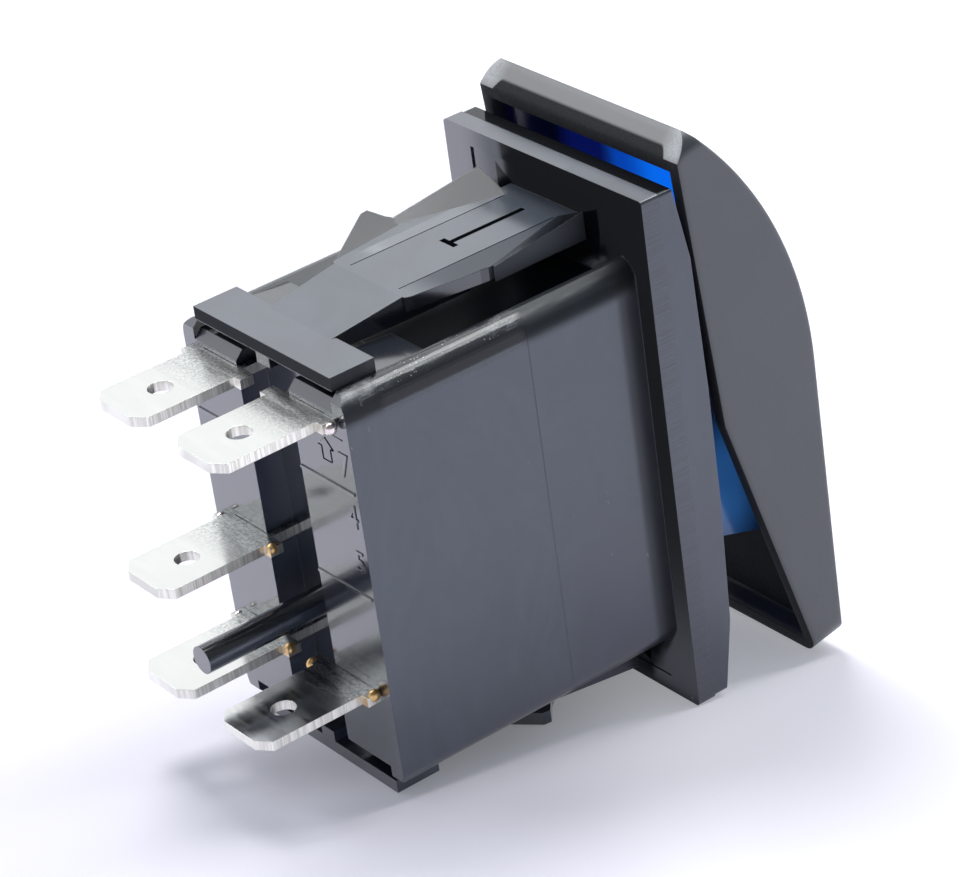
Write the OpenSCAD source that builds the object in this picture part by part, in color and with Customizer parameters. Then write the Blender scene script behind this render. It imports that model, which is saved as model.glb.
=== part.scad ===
// Panel-mount illuminated rocker switch with five blade terminals.
// X runs across the switch, Y runs from the panel to the terminals, Z runs along the switch.
// The origin is the centre of the flange's rear face, which lies against the panel.

/* [Bezel] */
// Width of the flange
bezel_w = 24.26; // [23.4:0.01:28]
// Length of the flange
bezel_l = 44.8; // [42.5:0.1:52]
// Thickness of the flange's rear layer
rear_layer_t = 1.7; // [1.2:0.1:2.2]
// Height of the flange at its short ends
flange_end_t = 3.0; // [2.6:0.1:3.4]
// Height of the long side walls at the middle
crest_t = 4.45; // [4.0:0.05:4.6]
// Corner radius of the flange
flange_r = 0.3; // [0.2:0.1:1.5]

/* [Body] */
// Width of the body behind the panel
body_w = 20.9; // [20.4:0.1:21.0]
// Length of the body's side rails
body_l = 34.0; // [33.4:0.1:35.0]
// Depth of the body behind the panel
body_d = 27.3; // [26.2:0.1:31]
// Depth of the bezel's own sleeve, up to the seam
sleeve_d = 10.6; // [9.8:0.1:12.5]
// Wall of the sleeve and the base
wall = 1.1; // [1.0:0.05:1.3]
// Radius of the long edges
edge_r = 1.6; // [1.0:0.1:2.0]
// Thickness of the rear wall that holds the terminals
rear_wall_t = 4.5; // [3.8:0.1:5.5]
// Half length of the body inside its end recesses
recess_z = 14.6; // [14.4:0.1:15.2]
// Width of the groove between the two terminal columns
groove_w = 6.8; // [5.5:0.1:7.4]
// Depth of that groove
groove_d = 2.5; // [1.5:0.1:3.0]
// Diameter of the locating peg
peg_d = 2.3; // [1.6:0.1:3.0]
// Length of the peg past the rear face
peg_l = 9.4; // [6:0.1:12]
// Height of the peg, below the middle
peg_z = -5.0; // [-6:0.1:0]

/* [End clips] */
// Width of the cross bar at the rear of each clip
bar_w = 17.6; // [14:0.1:17.7]
// Depth of the cross bar
bar_d = 4.0; // [3.0:0.1:4.4]
// Thickness of the clip's plate
clip_t = 1.1; // [0.9:0.05:1.3]
// Height of the cross bar's outer face from the centre
bar_z = 18.1; // [17.9:0.05:18.4]
// Height of the strip's outer face at the wings
strip_z = 19.0; // [18.7:0.1:19.4]
// Width of the strip at the cross bar
strip_w = 8.0; // [6.0:0.1:9.0]
// Distance of the wing's outer corner from the middle
wing_x = 7.6; // [7.0:0.1:8.4]
// Outward slope of the rear part of each wing
wing_angle = 28.4; // [20:0.2:30]
// Outward slope of the part that grips the panel
grip_angle = 22.8; // [16:0.2:26]
// Distance from the flange to the step in the wing
grip_y = 9.85; // [9.0:0.05:10.5]
// Length of the core mark along the strip
slit_l = 7.3; // [5:0.1:8]

/* [Rocker] */
// Width of the cap
cap_w = 24.0; // [22.8:0.1:24.1]
// Distance from the pivot to the cap's curved tip
cap_top = 24.85; // [23.5:0.05:25.5]
// Distance from the pivot to the cap's flat tip
cap_tail = 25.2; // [23.5:0.1:25.5]
// Radius of the cap's curved end
cap_r = 33; // [30:0.5:38]
// Slope of the flat end, from the middle position
cap_slope = 9.67; // [8:0.01:11]
// Rounding of the cap's front edges
edge_round = 0.35; // [0.25:0.05:1.4]
// Side wall of the cap
skirt_t = 1.1; // [0.9:0.05:1.3]
// Front wall of the cap
cap_t = 1.6; // [1.2:0.1:2.2]
// Total angle that the rocker turns through
rock_angle = 20.6; // [16:0.1:21]
// Distance of the pivot in front of the panel
pivot_y = 2.0; // [1.9:0.05:2.3]
// Diameter of the pivot pins
pin_d = 2.7; // [2.2:0.1:2.8]
// Width of the core between the bezel's side walls
core_w = 18.6; // [17.6:0.1:19.0]

/* [Terminals] */
// Width of a tab
tab_w = 6.3; // [4.8:0.1:6.3]
// Thickness of a tab
tab_t = 0.8; // [0.6:0.05:1.0]
// Length of a switch tab past the rear face
tab_l = 10.3; // [8:0.1:12]
// Length of a lamp tab past the rear face
lamp_tab_l = 9.8; // [8:0.1:12]
// Diameter of the hole in a tab
tab_hole_d = 2.0; // [1.4:0.1:2.4]
// Distance from the middle to a tab's centre line
column_x = 5.2; // [5.1:0.05:5.4]
// Spacing of the rows of switch tabs, the middle one at the pivot
row_pitch = 9.0; // [8.6:0.1:9.4]
// Height of the lamp tabs
lamp_row_z = 14.6; // [14.5:0.05:15.0]

/* [Contacts] */
// Thickness of the tilting blade
blade_t = 0.5; // [0.4:0.05:0.6]
// Width of the tilting blade
blade_w = 3.8; // [3.0:0.1:4.4]
// Angle that the blade turns through
blade_angle = 10; // [7:0.5:12]
// Diameter of the plunger
plunger_d = 3.0; // [2.4:0.1:3.2]
// Travel of the plunger against its spring
plunger_travel = 0.4; // [0.2:0.1:0.6]

/* [Hidden] */
$fn = 64;

fit_gap = 0.05;            // clearance of a part that is pushed into its slot
seat_gap = 0.15;           // clearance round a part that drops into its place
over = 1;                  // how far a cutting shape runs past the face it cuts
corner_steps = 10;         // facets in a rounded corner
parting_step = 0.08;       // step between the flange's two layers

// Half sizes of the main outlines.
half_w = bezel_w / 2;
half_l = bezel_l / 2;
body_x = body_w / 2;
body_z = body_l / 2;
inner_x = body_x - wall;                 // inside of the sleeve and the base
inner_z = recess_z - wall;
rail_x = body_x - edge_r + fit_gap;      // inner side of the rails beside the recesses
rear_in = body_d - rear_wall_t;          // inner face of the rear wall

// Flange.
side_wall_t = 1.63;                      // wall beside the tray
tray_x = half_w - side_wall_t;
tray_z = half_l - 1.0;
tray_y = -flange_end_t + 1.0;            // floor of the tray
open_x = body_x - 0.55;                  // opening for the rocker
open_z = recess_z - 0.2;
crest_z = 0.22 * half_l;                 // where the crest starts to fall
shoulder_z = 0.72 * half_l;              // where it falls faster
shoulder_t = 4.1 / 4.45 * crest_t;

// End clip.
bar_y1 = body_d - 0.3;
bar_y0 = bar_y1 - bar_d;
seat_z = bar_z - clip_t - 0.9;           // body under the cross bar
ramp_y = bar_y0 - 6.1;                   // where the strip has risen to its full height
crease_x = 3.1;                          // fine groove on each side of the strip
wing_root_x = 4.3;
wing_tip_x = 6.45;                       // outer edge of a wing beside the flange
wing_y0 = 1.2;
wing_rise = 0.71;                        // how far a wing stands over the strip at its bend mark
bend_x = 6.42;
bend_y = 13.8;
grip_low = strip_z - 0.95;               // underside of a wing beside the flange
grip_rise = 0.41;                        // the same at the step, and how it grows to the flange
grip_tilt = 7.25;
slit_w = 0.5;
wing_top = strip_z + 1.5;
seat_relief = 0.15;                      // flange set back inside the cut-out, at the clips

// Rocker, drawn in its middle position and then turned to rest.
half_rock = rock_angle / 2;
rim_y = -5.8;                            // rim of the cap at the pivot
rim_slope = 0.1;                         // how fast the rim falls away to both ends
cap_cy = cap_r - 16.15;                  // centre of the curved end
cap_cz = 5.65;
corner_r = 1.8;                          // corners of the cap, seen from the front
cap_bottom = -cap_tail;
cavity_top = cap_top - 2.55;
cavity_bottom = cap_bottom + 1.3;
plate_back = rim_y - 1.0;                // rear of the core's plate at the pivot
plate_t = 1.1;
plate_x = cap_w / 2 - skirt_t - seat_gap;
plate_top = cavity_top - 0.85;
core_bottom = -13.2;
core_x = core_w / 2;
core_inner_x = core_x - 0.5;
core_narrow_x = 6.0;
pin_end = open_x + 1.6;
lens_w = 8;
lens_l = 2.6;
lens_upper_z = 10;
lens_lower_z = -10.5;

// Contact work.
lever_x = column_x;
fulcrum_z = 0;
fulcrum_y = 13.95;                       // centre of the round nose that the blade tilts on
blade_y = fulcrum_y - tab_t / 2 - fit_gap;
cradle_x = blade_w / 2 + 0.25 + 0.6;      // half width of the cradle, past its ears
arm = 7.2;                               // from the fulcrum to the moving contact
button_d = 2.4;
button_t = 0.5;
half_blade = blade_angle / 2;
button_low = fulcrum_y + (blade_y + button_t - fulcrum_y) * cos(half_blade)
    + (arm + button_d / 2) * sin(half_blade);
fixed_y = button_low + fit_gap;          // face of the fixed contact
foot_y = fixed_y + 0.6;                  // face of the bracket under it
plunger_tip = blade_y - blade_t - 0.15;
tip_r = 1.1;
tube_end = 9.4;
tube_d = 5.2;
bore_y = 1.0;
plunger_back = 4.6;

// Lamps.
lamp_x = -1.5;
lamp_z = 10.6;
lamp_d = 3.0;
lamp_l = 5.3;
leg_d = 0.5;
leg_pitch = 2.54;
shelf_y = 12.2;
shelf_t = 1.0;
shelf_z = lamp_z - 2.8;
tail_z = 12.3;                           // solder tails of the lamp terminals
tail_y = 19.0;
tail_w = 3.0;

// ---------- helpers ----------

function arc(cx, cy, r, start) =
    [for (i = [0:corner_steps]) [cx + r * cos(start + 90 * i / corner_steps),
                                 cy + r * sin(start + 90 * i / corner_steps)]];

function rounded(x0, x1, z0, z1, r) = concat(
    arc(x1 - r, z1 - r, r, 0), arc(x0 + r, z1 - r, r, 90),
    arc(x0 + r, z0 + r, r, 180), arc(x1 - r, z0 + r, r, 270));

// The two ends of a span, from its middle and half its length.
function span(middle, half) = [middle - half, middle + half];

// Extrude an X-Z outline along Y, a Y-Z outline along X, and an X-Y outline along Z.
module along_y(y0, y1) translate([0, y1, 0]) rotate([90, 0, 0]) linear_extrude(y1 - y0) children();
module along_x(x0, x1) translate([x0, 0, 0]) rotate([90, 0, 90]) linear_extrude(x1 - x0) children();
module along_z(z0, z1) translate([0, 0, z0]) linear_extrude(z1 - z0) children();
module block(x, y, z) translate([x[0], y[0], z[0]]) cube([x[1] - x[0], y[1] - y[0], z[1] - z[0]]);
module rod_y(x, z, y0, y1, d) translate([x, y1, z]) rotate([90, 0, 0]) cylinder(h = y1 - y0, d = d);
module rod_x(y, z, x0, x1, d) translate([x0, y, z]) rotate([0, 90, 0]) cylinder(h = x1 - x0, d = d);
module both_ends() {
    children();
    mirror([0, 0, 1]) children();
}
module both_sides() {
    children();
    mirror([1, 0, 0]) children();
}

// Turn a shape about the rocker's pivot, or about the blade's fulcrum, from middle to rest.
module rocker_at_rest() translate([0, -pivot_y, 0]) rotate([-half_rock, 0, 0])
    translate([0, pivot_y, 0]) children();
module blade_at_rest() translate([0, fulcrum_y, fulcrum_z]) rotate([half_blade, 0, 0])
    translate([0, -fulcrum_y, -fulcrum_z]) children();

// A bent wire through a list of points.
module wire(points, d) {
    for (i = [0:len(points) - 2]) {
        run = points[i + 1] - points[i];
        length = norm(run);
        translate(points[i]) rotate([0, acos(run[2] / length), atan2(run[1], run[0])])
            cylinder(h = length, d = d, $fn = 24);
    }
    for (i = [1:1:len(points) - 2]) translate(points[i]) sphere(d = d + 0.04, $fn = 24);
}

// ---------- body outlines ----------

module body_outline() polygon(rounded(-body_x, body_x, -body_z, body_z, edge_r));

// ---------- bezel frame ----------

module flange_outline(inset) polygon(rounded(-half_w + inset, half_w - inset,
    -half_l + inset, half_l - inset, flange_r));

module crest_profile() polygon([
    [0, -half_l - over], [-flange_end_t, -half_l - over], [-flange_end_t, -half_l],
    [-shoulder_t, -shoulder_z], [-crest_t, -crest_z], [-crest_t, crest_z],
    [-shoulder_t, shoulder_z], [-flange_end_t, half_l], [-flange_end_t, half_l + over],
    [0, half_l + over]]);

module flange() {
    along_y(-rear_layer_t, 0) flange_outline(0);
    intersection() {
        along_y(-crest_t - over, -rear_layer_t / 2) flange_outline(parting_step);
        along_x(-half_w - over, half_w + over) crest_profile();
    }
}

module end_recess() along_x(-rail_x, rail_x) polygon([
    [0, recess_z], [bar_y0 - 4.5, recess_z], [bar_y0 - 0.2, seat_z],
    [body_d + over, seat_z], [body_d + over, body_z + over], [0, body_z + over]]);

// A slope under a wing's outer face: it passes through a mark, rises outwards, and tilts along Y.
module wing_slope(x, y, z, angle, tilt, y0, y1, t) translate([0, y, z]) rotate([tilt, 0, 0])
    translate([0, -y, -z]) along_y(y0, y1) polygon([
        [0, z - x * tan(angle)], [10, z + (10 - x) * tan(angle)],
        [10, z + (10 - x) * tan(angle) - t], [0, z - x * tan(angle) - t]]);

// The rear of a wing is a plate that bends up out of the strip, as far as its outer corner.
module wing_rear() intersection() {
    union() {
        wing_slope(bend_x, bend_y, strip_z + wing_rise, wing_angle, 4, 6, 20, clip_t);
        along_z(strip_z - clip_t, strip_z) polygon([
            [0, 6], [bend_x - 0.85, 6], [bend_x - 0.85, grip_y], [bend_x - 1.75, ramp_y], [0, ramp_y]]);
    }
    along_z(strip_z - 2 * clip_t, strip_z + 4) polygon([
        [crease_x, grip_y], [bend_x - 0.05, grip_y], [bend_x + 0.25, grip_y + 0.45],
        [wing_x, grip_y + 1.35], [wing_x - 0.1, grip_y + 2.05], [wing_root_x + 0.2, ramp_y],
        [crease_x, ramp_y]]);
}

// The part beside the panel is solid below, and its face rises towards the flange to wedge the panel.
module wing_grip() intersection() {
    union() {
        wing_slope(wing_tip_x, 9, strip_z + grip_rise, grip_angle, -grip_tilt, -2, 12, 6);
        block([0, wing_tip_x + over], [-over, grip_y + 0.1], [grip_low, strip_z]);
    }
    block([crease_x, wing_tip_x], [wing_y0, grip_y + 0.1], [grip_low, strip_z + 4]);
}

module wing() {
    wing_rear();
    wing_grip();
}

// The strip joins the cross bar to the flange, and thickens from the bar to the roots of the wings.
module strip() difference() {
    intersection() {
        along_x(-strip_w, strip_w) polygon([
            [-0.5, strip_z], [ramp_y, strip_z], [bar_y0 + 0.4, bar_z],
            [bar_y0 + 0.4, bar_z - clip_t], [-0.5, bar_z - clip_t]]);
        along_z(bar_z - 2 * clip_t, strip_z + over) polygon([
            [-wing_root_x, -0.5], [wing_root_x, -0.5], [wing_root_x, ramp_y],
            [strip_w / 2, bar_y0 + 0.5], [-strip_w / 2, bar_y0 + 0.5], [-wing_root_x, ramp_y]]);
    }
    both_sides() block(span(crease_x, 0.1), [1.5, ramp_y - 0.6], [strip_z - 0.12, strip_z + over]);
}

module end_clip() difference() {
    union() {
        block([-bar_w / 2, bar_w / 2], [bar_y0, bar_y1], [bar_z - clip_t, bar_z]);
        block([-0.85, 0.85], [bar_y1 - 2, bar_y1], [seat_z, bar_z - clip_t / 2]);
        strip();
        both_sides() wing();
    }
    block([-slit_w / 2, slit_w / 2], [2, 2 + slit_l], [strip_z - 0.9, strip_z + over]);
    block([-0.9, 0.9], [1.7 + slit_l, 2.2 + slit_l], [strip_z - 0.9, strip_z + over]);
}

module bezel_frame() color("dimgray") {
    difference() {
        union() {
            flange();
            along_y(-rear_layer_t / 2, sleeve_d) body_outline();
        }
        both_ends() end_recess();
        both_ends() block([-rail_x, rail_x], [-seat_relief, over], [recess_z, wing_top + 0.4]);
        block([-tray_x, tray_x], [-crest_t - over, tray_y], [-tray_z, tray_z]);
        block([-open_x, open_x], [-crest_t - over, 0], [-open_z, open_z]);
        block([-inner_x, inner_x], [-over, sleeve_d + over], [-inner_z, inner_z]);
        both_sides() rod_x(-pivot_y, 0, open_x - over, pin_end + 0.2, pin_d + 2 * fit_gap);
    }
    both_ends() end_clip();
}

// ---------- base housing ----------

// Row 0 holds the lamp tabs, rows 1 to 3 the switch tabs.
function row_z(row) = row == 0 ? lamp_row_z : (2 - row) * row_pitch;

module terminal_slot(side, row) block(
    span(side * column_x, tab_w / 2 - 0.65 + fit_gap), [rear_in - over, body_d + over],
    span(row_z(row), tab_t / 2 + fit_gap));

module tail_pocket(side) block(
    span(side * column_x, tail_w / 2 + fit_gap), [rear_in - over, rear_in + tab_t + 0.9],
    [tail_z - tab_t / 2 - fit_gap, row_z(0) + tab_t / 2 + fit_gap]);

module lamp_shelf(z0, z1) difference() {
    block([-inner_x - fit_gap, lamp_x + 4.0], [shelf_y, shelf_y + shelf_t], [z0, z1]);
    for (side = [-1, 1]) rod_y(lamp_x + side * leg_pitch / 2, sign(z0) * lamp_z, 0, 20, 0.7);
}

// A low rib marks each place that has no terminal.
module blank_mark(side, row) block(
    side > 0 ? [groove_w / 2, body_x - 0.3] : [-body_x + 0.3, -groove_w / 2],
    [body_d - 0.3, body_d + 0.1], span(row_z(row), 0.12));

module base_housing() color("dimgray") {
    difference() {
        intersection() {
            along_y(sleeve_d, body_d) body_outline();
            along_x(-body_x - over, body_x + over) polygon([
                [0, -body_z - over], [body_d - 0.7, -body_z - over], [body_d - 0.7, -body_z],
                [body_d, -body_z + 0.7], [body_d, body_z - 0.7], [body_d - 0.7, body_z],
                [body_d - 0.7, body_z + over], [0, body_z + over]]);
        }
        both_ends() end_recess();
        both_ends() along_x(-rail_x, rail_x) polygon([
            [body_d - 0.7, seat_z], [body_d, seat_z - 0.7], [body_d + over, seat_z - 0.7],
            [body_d + over, seat_z + 0.1], [body_d - 0.7, seat_z + 0.1]]);
        block([-inner_x, inner_x], [sleeve_d - over, rear_in], [-inner_z, inner_z]);
        block([-groove_w / 2, groove_w / 2], [body_d - groove_d, body_d + over],
            [-body_z - over, body_z + over]);
        terminal_slot(1, 0);
        terminal_slot(1, 2);
        terminal_slot(1, 3);
        terminal_slot(-1, 0);
        terminal_slot(-1, 3);
        tail_pocket(1);
        tail_pocket(-1);
    }
    rod_y(0, peg_z, body_d - groove_d - 0.5, body_d + peg_l, peg_d);
    blank_mark(1, 1);
    blank_mark(-1, 1);
    blank_mark(-1, 2);
    lamp_shelf(shelf_z, inner_z + fit_gap);
    lamp_shelf(-inner_z - fit_gap, -shelf_z);
}

// ---------- rocker ----------

// Side view of the cap, moved inwards by an inset: a flat end and a curved end that meet smoothly.
function paddle_flat(inset, z) = let (r = cap_r - inset,
    y0 = cap_cy - r * cos(cap_slope), z0 = cap_cz - r * sin(cap_slope))
    y0 + (z0 - z) * tan(cap_slope);
function paddle_curve(inset, z) = cap_cy - sqrt(pow(cap_r - inset, 2) - pow(z - cap_cz, 2));

module paddle_profile(inset, top, bottom, rear) {
    meet_z = cap_cz - (cap_r - inset) * sin(cap_slope);
    front = [paddle_flat(inset, meet_z), meet_z];
    tip = [paddle_curve(inset, top), top];
    polygon(concat(rear, [tip, front, [paddle_flat(inset, bottom), bottom]]));
    intersection() {
        translate([cap_cy, cap_cz]) circle(r = cap_r - inset, $fn = 360);
        polygon([tip, front, front - [5, 0], [tip[0] - 10, top]]);
    }
}

// Half of the cap's cross-section: depth from the curve's centre against width, front edge rounded.
module cap_section(depth) polygon(concat(
    [[cap_r - depth, -cap_w / 2], [cap_r - edge_round, -cap_w / 2]],
    [for (i = [1:corner_steps]) let (a = 90 * i / corner_steps)
        [cap_r - edge_round + edge_round * sin(a), -cap_w / 2 + edge_round - edge_round * cos(a)]],
    [for (i = [corner_steps:-1:1]) let (a = 90 * i / corner_steps)
        [cap_r - edge_round + edge_round * sin(a), cap_w / 2 - edge_round + edge_round * cos(a)]],
    [[cap_r - edge_round, cap_w / 2], [cap_r - depth, cap_w / 2]]));

// The curved end is that section turned about the curve's centre, and the flat end is it drawn out.
module cap_body() translate([0, cap_cy, cap_cz]) rotate([cap_slope, 0, 0]) {
    intersection() {
        rotate([0, 90, 0]) rotate_extrude($fn = 180) cap_section(cap_r - 8);
        block([-cap_w, cap_w], [-2 * cap_r, 0], [0, 2 * cap_r]);
    }
    translate([0, 0, -40]) linear_extrude(40) rotate([0, 0, 180]) rotate([0, 0, 90]) cap_section(16);
}

module cap_solid() intersection() {
    cap_body();
    along_x(-cap_w, cap_w) polygon([
        [rim_y - rim_slope * (-cap_bottom + 0.15), cap_bottom - 0.15], [rim_y, 0],
        [rim_y - rim_slope * (cap_top - 1.6), cap_top - 1.6], [paddle_curve(0, cap_top), cap_top],
        [-30, cap_top], [-30, cap_bottom], [paddle_flat(0, cap_bottom), cap_bottom]]);
    along_y(-20, 0) polygon(rounded(-cap_w / 2, cap_w / 2, cap_bottom - 0.2, cap_top + 0.1, corner_r));
}

module cap_cavity() along_x(-cap_w / 2 + skirt_t, cap_w / 2 - skirt_t)
    paddle_profile(cap_t, cavity_top, cavity_bottom, [[0, cavity_bottom], [0, cavity_top]]);

module lens_block(z, clearance) block(
    span(0, lens_w / 2 + clearance), [-20, plate_back - rim_slope * abs(z) - plate_t + 0.3],
    span(z, lens_l / 2 + clearance));

module rocker_cap() color("gray") rocker_at_rest() difference() {
    cap_solid();
    cap_cavity();
    lens_block(lens_upper_z, fit_gap);
    lens_block(lens_lower_z, fit_gap);
}

module plate_outline(back, top, bottom, t) polygon([
    [back + rim_slope * bottom, bottom], [back, 0], [back - rim_slope * top, top],
    [back - rim_slope * top - t, top], [back - t, 0], [back + rim_slope * bottom - t, bottom]]);

module rocker_core() color("royalblue") rocker_at_rest() difference() {
    union() {
        along_x(-plate_x, plate_x) plate_outline(plate_back, plate_top, core_bottom, plate_t);
        // Wide in front of the sleeve, narrower where it turns inside the sleeve.
        along_x(-core_x, core_x) polygon([
            [plate_back + rim_slope * core_bottom - 0.3, core_bottom], [plate_back - 0.3, 0],
            [plate_back - 0.4, 2.2], [-0.7, 2.2], [-0.4, 0], [-1.0, -4], [-4, -11]]);
        along_x(-core_inner_x, core_inner_x) polygon([
            [-2, 2.2], [1.0, 2.2], [1.8, 0], [0.5, -5], [-3, -9.5], [-4, -8]]);
        along_x(-core_narrow_x, core_narrow_x) polygon([
            [plate_back - 0.3, 2.0], [plate_back - 1.5, 13.2], [-4, 11], [0.5, 5], [1.0, 2.0]]);
        rod_y(lever_x, 0, -5, tube_end, tube_d);
        rod_x(-pivot_y, 0, -pin_end, pin_end, pin_d);
    }
    rod_y(lever_x, 0, bore_y, tube_end + over, plunger_d + 2 * fit_gap + 0.02);
}

module lens(z) intersection() {
    difference() {
        lens_block(z, 0);
        along_x(-lens_w, lens_w) plate_outline(plate_back + 5, 20, -20, plate_t + 5 + 0.02);
    }
    along_x(-lens_w, lens_w) paddle_profile(0.04, 22, -22, [[0, -22], [0, 22]]);
}

module lens_upper() color("deepskyblue") rocker_at_rest() lens(lens_upper_z);
module lens_lower() color("deepskyblue") rocker_at_rest() lens(lens_lower_z);

module plunger() color("white") rocker_at_rest() {
    rod_y(lever_x, 0, plunger_back, plunger_tip - tip_r - 0.4, plunger_d);
    rod_y(lever_x, 0, plunger_back, plunger_tip - tip_r, 2 * tip_r);
    translate([lever_x, plunger_tip - tip_r, 0]) sphere(r = tip_r);
}

// The spring is a swept coil between the bottom of the bore and the back of the plunger.
spring_turns = 5;
spring_steps = 14;
spring_sides = 8;
spring_wire = 0.36;
spring_r = plunger_d / 2 - spring_wire / 2 - 0.08;
spring_count = spring_turns * spring_steps;
function spring_point(i, k) = let (a = 360 * i / spring_steps, b = 360 * k / spring_sides,
    r = spring_r + spring_wire / 2 * cos(b),
    y0 = bore_y + spring_wire / 2 + 0.02, y1 = plunger_back - spring_wire / 2 - 0.02)
    [lever_x + r * cos(a), y0 + (y1 - y0) * i / spring_count + spring_wire / 2 * sin(b), r * sin(a)];

module plunger_spring() color("silver") rocker_at_rest() polyhedron(
    points = [for (i = [0:spring_count]) for (k = [0:spring_sides - 1]) spring_point(i, k)],
    faces = concat(
        [[for (k = [0:spring_sides - 1]) k]],
        [for (i = [0:spring_count - 1]) for (k = [0:spring_sides - 1]) let (
            a = i * spring_sides + k, b = i * spring_sides + (k + 1) % spring_sides)
            [a, a + spring_sides, b + spring_sides, b]],
        [[for (k = [spring_sides - 1:-1:0]) spring_count * spring_sides + k]]));

// ---------- contact work ----------

module contact_blade() color("peru") blade_at_rest() difference() {
    block(span(lever_x, blade_w / 2), [blade_y - blade_t, blade_y],
        [fulcrum_z - arm - 1.7, fulcrum_z + arm + 1.2]);
    rod_y(lever_x, fulcrum_z - arm, 10, 16, 1.2);
}

module moving_contact() color("silver") blade_at_rest() {
    rod_y(lever_x, fulcrum_z - arm, blade_y, blade_y + button_t, button_d);
    rod_y(lever_x, fulcrum_z - arm, blade_y - blade_t - 0.1, blade_y + 0.1, 1.2 - fit_gap);
}

module fixed_contact() color("silver") {
    rod_y(lever_x, fulcrum_z - arm, fixed_y, foot_y, button_d);
    rod_y(lever_x, fulcrum_z - arm, foot_y - 0.1, foot_y + tab_t + 0.1, 1.2 - fit_gap);
}

// ---------- terminals ----------

module tab(side, row, length) difference() {
    along_z(row_z(row) - tab_t / 2, row_z(row) + tab_t / 2) {
        chamfer_x = 1.2;
        chamfer_y = 0.9;
        translate([side * column_x, 0]) polygon([
            [-tab_w / 2, body_d], [tab_w / 2, body_d], [tab_w / 2, body_d + length - chamfer_y],
            [tab_w / 2 - chamfer_x, body_d + length], [-tab_w / 2 + chamfer_x, body_d + length],
            [-tab_w / 2, body_d + length - chamfer_y]]);
        // Ears that stop the tab against the rear face.
        translate([side * column_x - tab_w / 2 - 0.75, body_d]) square([tab_w + 1.5, 1.2]);
    }
    translate([side * column_x, body_d + length - 4.1, row_z(row) - tab_t])
        cylinder(h = 2 * tab_t, d = tab_hole_d);
}

// The part of a terminal that runs through its slot, from a given depth to the rear face.
module shank(side, row, y0) block(span(side * column_x, tab_w / 2 - 0.65),
    [y0, body_d + 0.1], span(row_z(row), tab_t / 2));

module lamp_terminal(side) {
    tab(side, 0, lamp_tab_l);
    shank(side, 0, rear_in + 0.8);
    block(span(side * column_x, tail_w / 2), [rear_in + 0.8, rear_in + 0.8 + tab_t],
        [tail_z - tab_t / 2, row_z(0) + tab_t / 2]);
    block(span(side * column_x, tail_w / 2), [tail_y, rear_in + 0.8 + tab_t / 2],
        span(tail_z, tab_t / 2));
}

module terminal_2() color("lightgray") {
    tab(1, 2, tab_l);
    shank(1, 2, rear_in - 2);
    block(span(lever_x, cradle_x), [fulcrum_y, rear_in - 1.5], span(fulcrum_z, tab_t / 2));
    rod_x(fulcrum_y, fulcrum_z, lever_x - cradle_x, lever_x + cradle_x, tab_t);
    // Ears that keep the blade from sliding sideways.
    for (side = [-1, 1]) block(span(lever_x + side * (cradle_x - 0.3), 0.3),
        [blade_y - blade_t - 0.4, fulcrum_y + 0.6], span(fulcrum_z, 0.9));
}

module terminal_3() color("lightgray") difference() {
    union() {
        tab(1, 3, tab_l);
        shank(1, 3, rear_in - 2);
        block(span(lever_x, 2), [foot_y, rear_in - 1.5], span(row_z(3), tab_t / 2));
        block(span(lever_x, 2), [foot_y, foot_y + tab_t], [row_z(3) - tab_t / 2, fulcrum_z - arm + 1.6]);
    }
    rod_y(lever_x, fulcrum_z - arm, foot_y - over, foot_y + tab_t + 0.05, 1.2);
}

module terminal_6() color("lightgray") {
    tab(-1, 3, tab_l);
    shank(-1, 3, tail_y - 2);
}

module terminal_7() color("lightgray") lamp_terminal(-1);
module terminal_8() color("lightgray") lamp_terminal(1);

// ---------- lamps ----------

module led(z) {
    rod_y(lamp_x, z, shelf_y - 1.0, shelf_y, lamp_d + 0.5);
    rod_y(lamp_x, z, shelf_y - lamp_l + lamp_d / 2, shelf_y - 0.5, lamp_d);
    translate([lamp_x, shelf_y - lamp_l + lamp_d / 2, z]) sphere(d = lamp_d);
}

module led_upper() color("aliceblue") led(lamp_z);
module led_lower() color("aliceblue") led(-lamp_z);

module led_legs_upper() color("silver") {
    wire([[lamp_x - leg_pitch / 2, shelf_y + 0.02, lamp_z], [lamp_x - leg_pitch / 2, tail_y - 0.3, lamp_z],
        [-column_x, tail_y - 0.3, lamp_z], [-column_x, tail_y - 0.3, tail_z]], leg_d);
    wire([[lamp_x + leg_pitch / 2, shelf_y + 0.02, lamp_z], [lamp_x + leg_pitch / 2, 15.2, lamp_z]], leg_d);
}

module led_legs_lower() color("silver") {
    wire([[lamp_x - leg_pitch / 2, shelf_y + 0.02, -lamp_z], [lamp_x - leg_pitch / 2, tail_y - 0.6, -lamp_z],
        [-column_x + 1, tail_y - 0.6, row_z(3) - tab_t / 2 - leg_d / 2 - 0.02]], leg_d);
    wire([[lamp_x + leg_pitch / 2, shelf_y + 0.02, -lamp_z], [lamp_x + leg_pitch / 2, 18.2, -lamp_z]], leg_d);
}

module resistor(y, z, lead_end) {
    rod_x(y, z, 0.5, 3.9, 1.9);
    wire([[lamp_x + leg_pitch / 2 + 0.3, y, z], [0.6, y, z]], leg_d);
    wire([[3.8, y, z], [lead_end[0], y, z], lead_end], leg_d);
}

module resistor_upper() color("tan") resistor(15.6, lamp_z, [column_x, tail_y - 0.3, tail_z]);
module resistor_lower() color("tan") resistor(18.6, -lamp_z,
    [4.6, 18.6, row_z(3) - tab_t / 2 - leg_d / 2 - 0.02]);

// ---------- assembly ----------

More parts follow.
